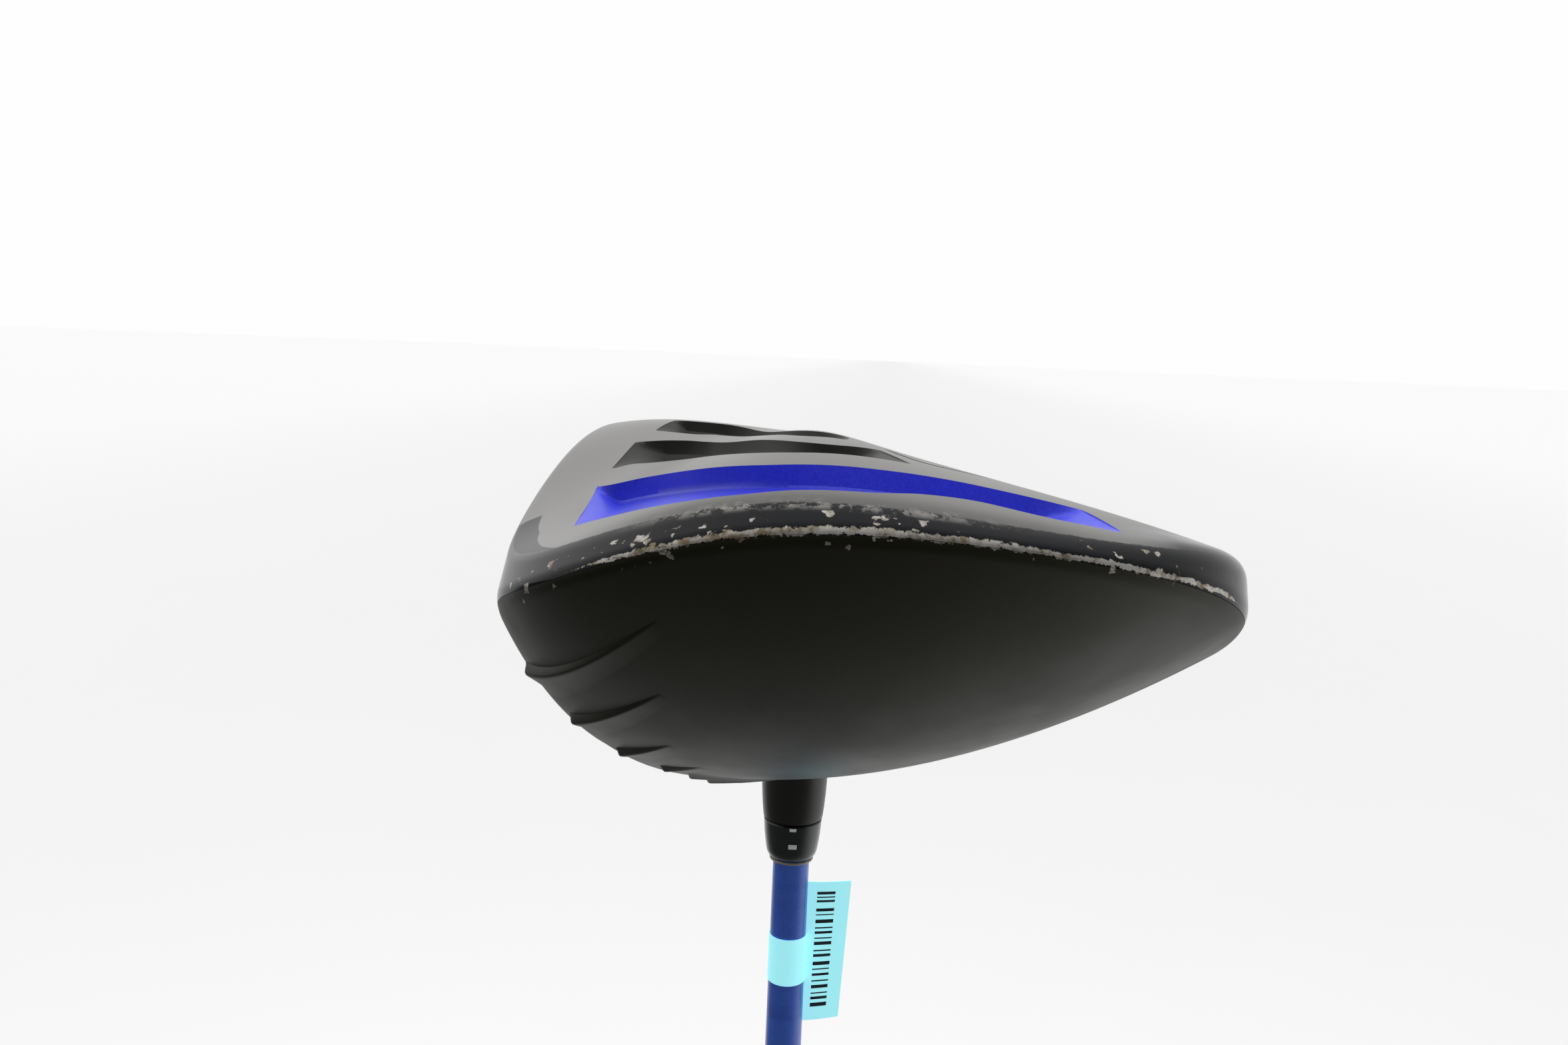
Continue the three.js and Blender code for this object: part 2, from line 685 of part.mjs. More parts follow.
function grip() {
  const bore = BUTT_RADIUS + TAPE_THICKNESS + 2 * GAP;
  const mouth = shaftRadius(GRIP_LENGTH) + GAP;
  return turned([
    [bore, CAP_TOP],
    [CAP_RADIUS, CAP_TOP],
    [CAP_RADIUS - 0.3, 9],
    [12.6, 18],
    [12.1, 60],
    [11.3, 120],
    [10.5, 180],
    [9.7, 240],
    [9.3, GRIP_LENGTH - 4],
    [8.7, GRIP_LENGTH],
    [mouth, GRIP_LENGTH],
    [mouth, GRIP_LENGTH - 3],
    [bore, GRIP_LENGTH - 4.5],
    [bore, CAP_TOP],
  ]);
}

// The grip's closed butt end. Its vent hole stands off centre, clear of the middle of the flat end.
function gripCap() {
  const plate = solid(
    turned([
      [0, 0],
      [CAP_RADIUS - 1.6, 0],
      [CAP_RADIUS - 0.5, 0.5],
      [CAP_RADIUS, 1.6],
      [CAP_RADIUS, CAP_THICKNESS],
      [0, CAP_THICKNESS],
    ]),
  );
  return plate.subtract(solid(rod(VENT_RADIUS, -1, CAP_THICKNESS + 1, 12).translate(VENT_OFFSET, 0, 0)));
}

// A paper label: a band round the shaft and a flag that stands off it.
function stockLabel() {
  const inner = shaftRadius(LABEL_MIDDLE) + GAP;
  const outer = inner + LABEL_THICKNESS;
  const band = solid(ring(inner, outer, LABEL_MIDDLE - LABEL_BAND / 2, LABEL_MIDDLE + LABEL_BAND / 2));
  const start = inner + 0.1;
  const flag = new THREE.BoxGeometry(FLAG_REACH - start, LABEL_THICKNESS, LABEL_HEIGHT);
  flag.translate((FLAG_REACH + start) / 2, 0, LABEL_MIDDLE).rotateZ(FLAG_DIRECTION);
  return band.add(solid(flag));
}

// ---------------------------------------------------------------- materials and assembly

function paint(color, roughness, metalness) {
  return new THREE.MeshStandardMaterial({ color, roughness, metalness });
}

const titanium = paint(0xa9aaa8, 0.4, 0.9);
const crownPaint = paint(0x16160f, 0.65, 0);
const facePaint = paint(0x3a3b3d, 0.45, 0.8);
const neckPaint = paint(0x131410, 0.4, 0.1);
const steel = paint(0x8c8d90, 0.3, 1);
const tungsten = paint(0x5a5b5e, 0.4, 0.9);
const glue = paint(0xc8b273, 0.5, 0);
const anodised = paint(0x24262a, 0.35, 0.8);
const ferruleBlack = paint(0x161819, 0.3, 0);
const blueLacquer = paint(0x1f3f9c, 0.2, 0.4);
const cork = paint(0xb08a5a, 0.9, 0);
const tape = paint(0xd9d2b8, 0.9, 0);
const rubber = paint(0x18191b, 0.85, 0);
const paper = paint(0x95eafd, 0.8, 0);

function piece(name, shape, material) {
  const geometry = shape.isBufferGeometry ? shape : geometryOf(shape);
  const mesh = new THREE.Mesh(geometry, material);
  mesh.name = name;
  return mesh;
}

// The weight's pieces are drawn on their own axis, so their group is set down in the port.
const insertSpan = [PORT_DEPTH + GAP, PORT_DEPTH + 5];
const weightGroup = new THREE.Group();
weightGroup.add(
  piece("back_weight", backWeight(), tungsten),
  piece("back_weight_screw", backWeightScrew(), steel),
  piece("weight_insert", ring(WEIGHT_SCREW_SHANK + GAP, INSERT_RADIUS, ...insertSpan), steel),
);
weightGroup.applyMatrix4(weightFrame);

// The screw's pieces are drawn with stations as heights, so their group leans on to the shaft's axis.
const washerSpan = [SEAT_LOW - 1.4, SEAT_LOW - GAP];
const retainerSpan = [PORT_MOUTH + 1.2, PORT_MOUTH + 3.2];
const screwGroup = new THREE.Group();
screwGroup.add(
  piece("hosel_screw", hoselScrew(), steel),
  piece("screw_washer", ring(SCREW_SHANK + GAP, HOSEL_BORE - 2 * GAP, ...washerSpan), steel),
  piece("screw_retainer", ring(3.2, HOSEL_BORE - GAP, ...retainerSpan), anodised),
);
screwGroup.rotation.x = Math.PI / 2 - LIE_ANGLE;

const head = new THREE.Group();
head.add(
  piece("sole_shell", soleShell(), titanium),
  piece("crown_shell", crownShell(), crownPaint),
  piece("face_plate", facePlate(), facePaint),
  piece("hosel_tube", hoselTube(), neckPaint),
  piece("hot_melt_pad", hotMeltPad(), glue),
  screwGroup,
  weightGroup,
);
head.rotation.x = Math.PI / 2 + LIE_ANGLE;
head.position.z = CLUB_LENGTH;

const plugRadius = TIP_RADIUS - SHAFT_WALL - GAP;
const plugTop = CLUB_LENGTH - SHAFT_TIP - 1;
const beadRadius = shaftRadius(CLUB_LENGTH - FERRULE_TOP) + GAP;
const beadStart = CLUB_LENGTH - FERRULE_TOP - GAP;

const club = new THREE.Group();
club.add(
  head,
  piece("adapter_sleeve", adapterSleeve(), anodised),
  piece("ferrule", ferrule(), ferruleBlack),
  piece("ferrule_bead", ring(beadRadius, beadRadius + 0.5, beadStart - 0.7, beadStart), glue),
  piece("shaft", shaft(), blueLacquer),
  piece("shaft_tip_plug", rod(plugRadius, plugTop - 9, plugTop), cork),
  piece("stock_label", stockLabel(), paper),
  piece("grip_tape", gripTape(), tape),
  piece("grip", grip(), rubber),
  piece("grip_cap", gripCap(), rubber),
);

export default club;
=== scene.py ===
"""Golf driver, head up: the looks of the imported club, seen from the toe and a little over the crown.

Shapes are drawn in millimetres. The head has its own frame: X rearward from the face, Y to the toe, Z up
from the ground, with the shaft's axis meeting the ground at the origin. Stations are heights along the shaft
from there. Pieces of the shaft are drawn with heights from the grip's butt. finish_piece puts each into the
part's frame.
"""

import math

import bmesh
import bpy
import numpy as np
from mathutils import Matrix, Vector
from mathutils.bvhtree import BVHTree
from mathutils.kdtree import KDTree

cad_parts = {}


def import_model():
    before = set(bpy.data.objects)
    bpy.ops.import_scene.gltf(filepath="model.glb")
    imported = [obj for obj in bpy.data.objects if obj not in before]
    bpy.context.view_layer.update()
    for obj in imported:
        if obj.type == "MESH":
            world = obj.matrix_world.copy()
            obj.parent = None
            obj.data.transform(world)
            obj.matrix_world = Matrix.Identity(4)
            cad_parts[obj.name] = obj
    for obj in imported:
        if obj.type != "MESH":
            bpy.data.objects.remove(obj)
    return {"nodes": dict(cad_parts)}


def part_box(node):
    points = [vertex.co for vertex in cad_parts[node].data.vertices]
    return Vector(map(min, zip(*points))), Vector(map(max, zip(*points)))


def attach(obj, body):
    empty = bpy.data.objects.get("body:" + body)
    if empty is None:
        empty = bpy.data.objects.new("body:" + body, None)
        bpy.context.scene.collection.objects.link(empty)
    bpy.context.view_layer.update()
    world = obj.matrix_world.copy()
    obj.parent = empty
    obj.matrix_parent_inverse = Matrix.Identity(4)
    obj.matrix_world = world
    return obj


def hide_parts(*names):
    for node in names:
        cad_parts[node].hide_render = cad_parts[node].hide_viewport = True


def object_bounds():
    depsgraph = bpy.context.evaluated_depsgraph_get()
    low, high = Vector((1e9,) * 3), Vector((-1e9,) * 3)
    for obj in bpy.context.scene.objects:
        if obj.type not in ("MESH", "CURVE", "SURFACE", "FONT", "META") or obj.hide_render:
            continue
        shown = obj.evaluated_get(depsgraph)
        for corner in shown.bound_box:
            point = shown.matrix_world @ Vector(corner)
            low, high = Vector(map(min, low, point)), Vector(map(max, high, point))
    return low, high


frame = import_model()
cad_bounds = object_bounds()

MM = 0.001

# ---------------------------------------------------------------- driving dimensions

CLUB_LENGTH = 1162.0  # from the grip's butt to where the shaft's axis meets the ground
LIE = math.radians(58)

# The head's two outlines, from the middle of the face round by the toe, the trailing edge and the heel.
CROWN_EDGE = [
    (-5, 41, 51), (-3.5, 67.5, 50), (2, 89, 50.5), (25, 103.5, 51.5), (58.5, 108.5, 39.5), (94.5, 84.5, 29.5),
    (109.5, 47.5, 19), (91, 9.5, 16), (56, -13, 21), (22, -23, 31), (-2, -24, 41), (-5, 12, 51),
]
SOLE_EDGE = [
    (-15, 53, -1.5), (-13, 69, 9.5), (-6, 81, 40.5), (18.5, 100, 47.5), (55.5, 106, 32.5), (95, 80, 26.5),
    (107, 49, 9), (89.5, 11, 7.5), (54, -10.5, 10.5), (17, -14, 11.5), (-14, -8, 8.5), (-16.5, 25.5, 0),
]
PLACES = 12.0  # the outlines' own measure of the way round
CROWN_APEX = np.array([12, 55, 62.2])
SOLE_POLE = np.array([32.4, 52.7, 0])
SOLE_SOFTNESS = 0.33
# How far the sole swells outward at each place: (outer half, inner half) of the way from its pole.
SOLE_SWELL = [
    (1, -0.5), (2.85, 0), (3.1, 1), (2.4, 0), (1.6, -1.6), (1, -2.2),
    (0, -1.2), (0.1, -0.4), (0.3, -0.3), (0.5, -0.2), (0.6, -0.2), (0.8, -0.2),
]
EDGE_ROUNDING = 2.5
SKIN = 1.1

# Channels in the sole, in plan: (rearward, toeward) points along both long edges, the depth of the floor, the
# paint, and the length of the ramps at the front and rear ends.
CHANNELS = [
    {
        "inner": [(2.4, 61), (8, 60.3), (15, 59.6), (22, 61), (31, 65.5), (42, 66.5)],
        "outer": [(2.2, 65.2), (10, 64.4), (15.1, 63.7), (21, 64.8), (30.6, 70.2), (38.4, 73.8), (45, 71.6)],
        "depth": 2.0,
        "paint": "pocket_black",
        "ramps": (3, 5),
    },
    {
        "inner": [
            (1.3, 67.8), (8, 66.4), (13, 66), (18, 67), (26.3, 71.4), (35.4, 76.7), (42, 79.2),
            (47.4, 78.6), (52, 73.5),
        ],
        "outer": [
            (2.8, 72.8), (7, 71.8), (14, 72.8), (21.7, 76.4), (30.9, 81.7),
            (37.3, 84.6), (43, 85.8), (48, 85.3), (54, 82.4), (60.5, 78),
        ],
        "depth": 2.4,
        "paint": "pocket_black",
        "ramps": (6, 5),
    },
    {
        "inner": [
            (4.7, 76.4), (15.5, 79), (31.6, 87.4), (42.4, 90.9), (50.2, 90.7),
            (58.7, 87.2), (64.6, 83), (70.9, 77.3), (77.6, 71.6), (83.2, 68.3),
        ],
        "outer": [
            (17.5, 92), (29, 96.8), (38.9, 99.4), (46.6, 99.9), (53.2, 98.8), (63.9, 94.4),
            (69.6, 89.5), (75, 85), (81.9, 80.8), (88.2, 75.7), (91.2, 73.3),
        ],
        "depth": 3.2,
        "paint": "pocket_blue",
        "ramps": (4, 7),
    },
]
# Fine grooves behind the channels: points along each, its width and depth.
GROOVES = [
    ([(50.6, 69.4), (54.9, 71.6), (58.5, 72.3), (61, 70.6), (63, 66.5), (65, 62), (67, 58.6)], 0.9, 0.5),
    ([(53, 63.4), (55.2, 63.6), (57.2, 62.4), (58.8, 59.6)], 0.8, 0.4),
]
HEEL_MIRROR = 43.0
HEEL_SCALE = 0.85

# Ridges on the crown: (rearward, toeward) of the tall end, length and height.
RIDGES = [((7.3, 78), 37, 1.5), ((11, 68), 26, 1.4), ((13, 56), 16, 1.2), ((15.6, 46), 12, 0.9)]
RIDGE_SPLAY = math.radians(27)
RIDGE_FOOT = 6.0  # width of the gentle side
RIDGE_STEEP = 1.0  # width of the steep side
RIDGE_MIRROR = 42.0

FACE_CENTRE = (34.0, 26.0)  # toeward and up
FACE_RADII = (33.0, 19.0)
FACE_TILT = math.radians(14)
SCORE_LINES = 9
SCORE_LOWEST = 10.0
SCORE_SPACING = 4.2
SCORE_SLOPE = 0.06
SCORE_SPANS = ((0, 20), (49, 70))  # the stretches, heel and toe, that the score lines cover

WEIGHT_MOUTH = (81.66, 46.5, 7.1)
WEIGHT_INWARD = Vector((-0.178221, -0.173379, 0.968595))  # square to the sole there
WEIGHT_PORT = 8.3, 9.1  # radius and depth

HOSEL_RADIUS = 7.6
HOSEL_BLEND = 9.0  # how far from the neck the crown starts to rise into it
SCREW_PORT = 7.9, 19  # radius, and the station that it reaches

# The camera is turned from square on to the toe, raised over the crown and rolled. Its place is in the
# head's frame.
CAMERA_TURN = math.radians(32.84)
CAMERA_RISE = math.radians(19.43)
CAMERA_ROLL = math.radians(-2.34)
CAMERA_PLACE = (135.5, 221.4, 87.5)
CAMERA_LENS = 28.02
CAMERA_SENSOR = 36

FLOOR_GLOW = 0.365
FLOOR_HALF = 300.0  # metres
FLOOR_GAP = 0.0005  # metres below the grip's butt

HEAD_TO_CLUB = (
    Matrix.Scale(MM, 4)
    @ Matrix.Translation((0, 0, CLUB_LENGTH))
    @ Matrix.Rotation(math.pi / 2 + LIE, 4, "X")
)
CLUB = Matrix.Scale(MM, 4)

# ---------------------------------------------------------------- mesh helpers


def mesh_object(name, vertices, faces, materials, face_materials=None, uvs=None):
    """A mesh object. uvs holds one (map name, array per corner) pair for each map."""
    mesh = bpy.data.meshes.new(name)
    mesh.from_pydata([tuple(map(float, v)) for v in vertices], [], faces)
    for material in materials:
        mesh.materials.append(material)
    if face_materials is not None:
        mesh.polygons.foreach_set("material_index", np.asarray(face_materials, np.int32))
    for map_name, corners in uvs or []:
        layer = mesh.uv_layers.new(name=map_name)
        layer.data.foreach_set("uv", np.asarray(corners, np.float32).reshape(-1))
    obj = bpy.data.objects.new(name, mesh)
    bpy.context.scene.collection.objects.link(obj)
    return obj


def applied(obj):
    """Applies the object's modifiers."""
    depsgraph = bpy.context.evaluated_depsgraph_get()
    mesh = bpy.data.meshes.new_from_object(obj.evaluated_get(depsgraph))
    obj.modifiers.clear()
    obj.data = mesh
    return obj


def grid_faces(rows, columns, closed_columns=False):
    """Quads between neighbouring rows of a grid whose vertices are numbered row by row."""
    wrap = columns if closed_columns else columns - 1
    faces = []
    for low in range(0, (rows - 1) * columns, columns):
        for c in range(wrap):
            after = (c + 1) % columns
            faces.append((low + c, low + after, low + columns + after, low + columns + c))
    return faces


def smooth(obj, angle):
    """Smooth shading, with edges sharper than the angle kept."""
    mesh = obj.data
    mesh.polygons.foreach_set("use_smooth", np.ones(len(mesh.polygons), bool))
    mesh.update()
    mesh.set_sharp_from_angle(angle=math.radians(angle))


def recalculate(obj):
    """Turns every face outward."""
    shape = bmesh.new()
    shape.from_mesh(obj.data)
    bmesh.ops.recalc_face_normals(shape, faces=shape.faces)
    shape.to_mesh(obj.data)
    shape.free()


def finish_piece(obj, transform, body, node, angle):
    """Puts a piece into the part's frame and hangs it on its body. node is the CAD piece it replaces, if
    any."""
    obj.data.transform(transform)
    smooth(obj, angle)
    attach(obj, body)
    if node:
        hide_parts(node)
    return obj


def round_angles(sides):
    return np.arange(sides) * 2 * math.pi / sides


SIDES = 96


def turned(name, profile, material):
    """A solid turned about Z from a closed loop of (radius, height) points. A radius of zero makes a pole."""
    vertices, rings = [], []
    for radius, height in profile:
        if radius <= 0:
            rings.append([len(vertices)])
            vertices.append((0, 0, height))
        else:
            rings.append(list(range(len(vertices), len(vertices) + SIDES)))
            vertices.extend((radius * math.cos(a), radius * math.sin(a), height) for a in round_angles(SIDES))
    faces = []
    for lower, upper in zip(rings, rings[1:] + rings[:1]):
        for k in range(SIDES):
            corners = [lower[k % len(lower)], lower[(k + 1) % len(lower)]]
            corners += [upper[(k + 1) % len(upper)], upper[k % len(upper)]]
            unique = list(dict.fromkeys(corners))
            if len(unique) > 2:
                faces.append(unique)
    obj = mesh_object(name, vertices, faces, [material])
    recalculate(obj)
    return obj


def curve(points, shares):
    """Points of a smooth curve through the given plan points, at shares of its length from 0 to 1."""
    points = np.array(points, float)
    padded = np.vstack([2 * points[0] - points[1], points, 2 * points[-1] - points[-2]])
    dense = []
    for i in range(len(points) - 1):
        p0, p1, p2, p3 = padded[i : i + 4]
        for u in np.linspace(0, 1, 24, endpoint=False):
            a, b, c = 2 * p1, p2 - p0, 2 * p0 - 5 * p1 + 4 * p2 - p3
            d = -p0 + 3 * p1 - 3 * p2 + p3
            dense.append(0.5 * (a + b * u + c * u**2 + d * u**3))
    dense = np.array(dense + [points[-1]])
    travelled = np.concatenate([[0], np.cumsum(np.linalg.norm(np.diff(dense, axis=0), axis=1))])
    wanted = np.asarray(shares) * travelled[-1]
    return np.stack([np.interp(wanted, travelled, dense[:, k]) for k in range(dense.shape[1])], -1)


# ---------------------------------------------------------------- the head's skin


def outline(corners, places):
    """Points of a closed uniform cubic spline at places round it."""
    corners = np.array(corners, float)
    places = np.asarray(places, float)
    first = np.floor(places).astype(int)
    u = (places - first)[:, None]
    weights = np.stack([(1 - u) ** 3, 3 * u**3 - 6 * u**2 + 4, -3 * u**3 + 3 * u**2 + 3 * u + 1, u**3]) / 6
    picked = np.stack([corners[(first + k) % len(corners)] for k in (-1, 0, 1, 2)])
    return (weights * picked).sum(0)


def crown_rise(fraction):
    return fraction**2


def sole_rise(fraction):
    floor = np.hypot(1, SOLE_SOFTNESS) - SOLE_SOFTNESS
    return (np.hypot(fraction, SOLE_SOFTNESS) - SOLE_SOFTNESS) / floor


def bowl(pole, edges, fractions, rise):
    """Points from a pole out to edge points: one line per edge point."""
    f = np.asarray(fractions)[None, :, None]
    lines = pole + (edges[:, None, :] - pole) * f
    lines[:, :, 2] = pole[2] + (edges[:, None, 2] - pole[2]) * rise(f[:, :, 0])
    return lines


def swelling(places, fractions):
    """How far the sole swells outward at places round the head and fractions of the way out from its pole."""
    shape = np.broadcast_shapes(np.shape(places), np.shape(fractions))
    flat = np.broadcast_to(places, shape).ravel()
    swell = outline([(outer, inner, 0) for outer, inner in SOLE_SWELL], flat).reshape(shape + (3,))
    f = np.broadcast_to(fractions, shape)
    outward = 6.75 * f**2 * (1 - f)
    inward = 6.75 * f * (1 - f) ** 2 * np.minimum(1, f / 0.15)
    return swell[..., 0] * outward + swell[..., 1] * inward


COLUMNS = 432
STEPS = 80


class Skin:
    """The head's whole skin as section lines, from the crown's apex over both edges to the sole's pole."""

    def __init__(self):
        self.places = np.arange(COLUMNS) * PLACES / COLUMNS
        crown = outline(CROWN_EDGE, self.places)
        sole = outline(SOLE_EDGE, self.places)
        shares = np.linspace(0, 1, STEPS, endpoint=False)
        side = crown[:, None, :] + (sole - crown)[:, None, :] * shares[None, :, None]
        fractions = 1 - np.linspace(0, 1, STEPS + 1)
        under = bowl(SOLE_POLE, sole, fractions, sole_rise)
        under[:, :, 2] -= swelling(self.places[:, None], fractions[None, :])
        self.lines = np.concatenate([bowl(CROWN_APEX, crown, shares, crown_rise), side, under], axis=1)
        steps = np.linalg.norm(np.diff(self.lines, axis=1), axis=2)
        self.lengths = np.concatenate([np.zeros((COLUMNS, 1)), np.cumsum(steps, axis=1)], axis=1)
        self.crown_edge = self.lengths[:, STEPS]
        self.sole_edge = self.lengths[:, 2 * STEPS]
        self.total = self.lengths[:, -1]

    def rounded(self, wanted):
        """Points at lengths along each section line, with the edges rounded by averaging over a short
        stretch."""
        reach = np.minimum(EDGE_ROUNDING, np.minimum(wanted, self.total[:, None] - wanted))
        result = np.zeros(wanted.shape + (3,))
        offsets = np.linspace(-1, 1, 9)
        for o in offsets:
            for column in range(COLUMNS):
                at = wanted[column] + o * reach[column]
                for k in range(3):
                    result[column, :, k] += np.interp(at, self.lengths[column], self.lines[column, :, k])
        return result / len(offsets)

    def normals(self, points):
        """Outward directions on a grid of points, column by row."""
        across = np.roll(points, -1, axis=0) - np.roll(points, 1, axis=0)
        along = np.gradient(points, axis=1)
        normal = np.cross(across, along)
        size = np.linalg.norm(normal, axis=2, keepdims=True)
        return normal / np.maximum(size, 1e-9)


skin = Skin()


def axis_place(points):
    """Station along the shaft's axis and distance from it, for points in the head's frame."""
    axis = np.array([0, -math.cos(LIE), math.sin(LIE)])
    station = points @ axis
    return station, np.linalg.norm(points - station[..., None] * axis, axis=-1)


def risen(points, normals):
    """The skin lifted smoothly into the neck where it comes close to it."""
    station, distance = axis_place(points)
    near = np.clip(distance - HOSEL_RADIUS, -1.5, HOSEL_BLEND)
    lift = (HOSEL_BLEND - near) ** 2 / (4 * HOSEL_BLEND)
    fade = np.clip((station - 22) / 14, 0, 1)
    return points + normals * (lift * fade * fade * (3 - 2 * fade))[..., None]


def crown_rows():
    inner = np.linspace(0, 1, 46)[None, :] * (skin.crown_edge[:, None] - 5)
    last = skin.crown_edge[:, None] - np.array([4.2, 3.5, 2.9, 2.4, 1.9, 1.5, 1.1, 0.75, 0.4, 0.05])[None, :]
    return np.concatenate([inner, last], axis=1)


def body_rows():
    share = (1 - np.cos(np.linspace(0, 1, 30) * math.pi)) / 2
    side = skin.crown_edge[:, None] + 0.05 + (skin.sole_edge - skin.crown_edge)[:, None] * share[None, :]
    first = skin.sole_edge[:, None] + np.array([0.5, 1, 1.6, 2.3, 3.1, 4])[None, :]
    remaining = (skin.total - skin.sole_edge - 4)[:, None]
    rest = skin.sole_edge[:, None] + 4 + remaining * np.linspace(0, 1, 58)[None, 1:]
    return np.concatenate([side, first, rest], axis=1)


def skin_grid(rows):
    points = skin.rounded(rows)
    return risen(points, skin.normals(points))


def skin_maps(rows):
    """For each grid point: (place, mm past the crown's edge) and (place, mm past the sole's edge)."""
    place = np.repeat(skin.places[:, None], rows.shape[1], axis=1)
    return [
        ("edge", np.stack([place, rows - skin.crown_edge[:, None]], -1)),
        ("sole", np.stack([place, rows - skin.sole_edge[:, None]], -1)),
    ]


def corner_maps(maps, faces):
    """Map values at face corners, with the place put right where a face spans the end of the way round."""
    corners = np.array(faces)
    result = []
    for name, values in maps:
        flat = values.reshape(-1, 2)
        picked = flat[corners]
        place = picked[:, :, 0]
        spans_end = place.max(1) - place.min(1) > PLACES / 2
        place[spans_end[:, None] & (place < PLACES / 2)] += PLACES
        result.append((name, picked))
    return result


def skin_sheet(name, rows, pole_last, materials):
    """An open sheet of the head's skin. One end of every section line is the shared pole."""
    grid = skin_grid(rows)
    count = rows.shape[1]
    faces = []
    for column in range(COLUMNS):
        here, after = column * count, (column + 1) % COLUMNS * count
        for row in range(count - 1):
            faces.append((here + row, after + row, after + row + 1, here + row + 1))
    uvs = corner_maps(skin_maps(rows), faces)
    obj = mesh_object(name, grid.reshape(-1, 3), faces, materials, uvs=uvs)
    pole_row = count - 1 if pole_last else 0
    weld(obj, [column * count + pole_row for column in range(COLUMNS)])
    return obj


def weld(obj, indices):
    """Merges the named vertices into one."""
    shape = bmesh.new()
    shape.from_mesh(obj.data)
    shape.verts.ensure_lookup_table()
    verts = [shape.verts[i] for i in indices]
    middle = sum((v.co for v in verts), Vector()) / len(verts)
    bmesh.ops.pointmerge(shape, verts=verts, merge_co=middle)
    shape.to_mesh(obj.data)
    shape.free()


class Bowl:
    """Height and slope of the crown or the sole over a place in the plan."""

    def __init__(self, pole, edge_corners, rise, swell=None):
        self.pole, self.rise, self.swell = pole, rise, swell
        places = np.linspace(0, PLACES, 2881)[:-1]
        edges = outline(edge_corners, places)
        bearing = np.arctan2(edges[:, 1] - pole[1], edges[:, 0] - pole[0])
        order = np.argsort(bearing)
        bearing = bearing[order]
        self.bearing = np.concatenate([bearing - 2 * math.pi, bearing, bearing + 2 * math.pi])
        reach = np.hypot(edges[:, 0] - pole[0], edges[:, 1] - pole[1])[order]
        self.reach = np.tile(reach, 3)
        self.edge_height = np.tile(edges[order, 2], 3)
        self.turn = [np.tile(wave(places[order] * 2 * math.pi / PLACES), 3) for wave in (np.cos, np.sin)]

    def polar(self, x, y):
        """The place round the outline and the fraction of the way out, for places in the plan."""
        bearing = np.arctan2(y - self.pole[1], x - self.pole[0])
        cos, sin = (np.interp(bearing, self.bearing, values) for values in self.turn)
        fraction = np.hypot(x - self.pole[0], y - self.pole[1]) / np.interp(bearing, self.bearing, self.reach)
        return np.arctan2(sin, cos) * PLACES / (2 * math.pi) % PLACES, fraction

    def height(self, x, y):
        bearing = np.arctan2(y - self.pole[1], x - self.pole[0])
        edge = np.interp(bearing, self.bearing, self.edge_height)
        place, fraction = self.polar(x, y)
        height = self.pole[2] + (edge - self.pole[2]) * self.rise(fraction)
        return height if self.swell is None else height - self.swell(place, fraction)

    def point(self, x, y, lift):
        """Points over plan places, moved along the surface's own direction by lift, which counts upward."""
        step = 0.5
        slope_x = (self.height(x + step, y) - self.height(x - step, y)) / (2 * step)
        slope_y = (self.height(x, y + step) - self.height(x, y - step)) / (2 * step)
        normal = np.stack([-slope_x, -slope_y, np.ones_like(slope_x)], -1)
        normal /= np.linalg.norm(normal, axis=-1, keepdims=True)
        return np.stack([x, y, self.height(x, y)], -1) + normal * np.asarray(lift)[..., None]


crown_bowl = Bowl(CROWN_APEX, CROWN_EDGE, crown_rise)
sole_bowl = Bowl(SOLE_POLE, SOLE_EDGE, sole_rise, swelling)

# ---------------------------------------------------------------- cutters for the sole


def closed_loft(name, rings, materials, index=0):
    """A closed solid from rings of points, with a flat face at both ends. index picks its material."""
    rings = np.asarray(rings)
    count, around = rings.shape[:2]
    vertices = rings.reshape(-1, 3)
    faces = grid_faces(count, around, closed_columns=True)
    faces.append(tuple(reversed(range(around))))
    faces.append(tuple(range((count - 1) * around, count * around)))
    return mesh_object(name, vertices, faces, materials, [index] * len(faces))


CHANNEL_RINGS = 120
GROOVE_RINGS = 50


def heel_side(edge):
    """The toe's line in plan, mirrored and drawn in for the heel."""
    mirrored = HEEL_MIRROR - (edge[:, 1] - HEEL_MIRROR) * HEEL_SCALE
    return np.stack([edge[:, 0], mirrored], -1)


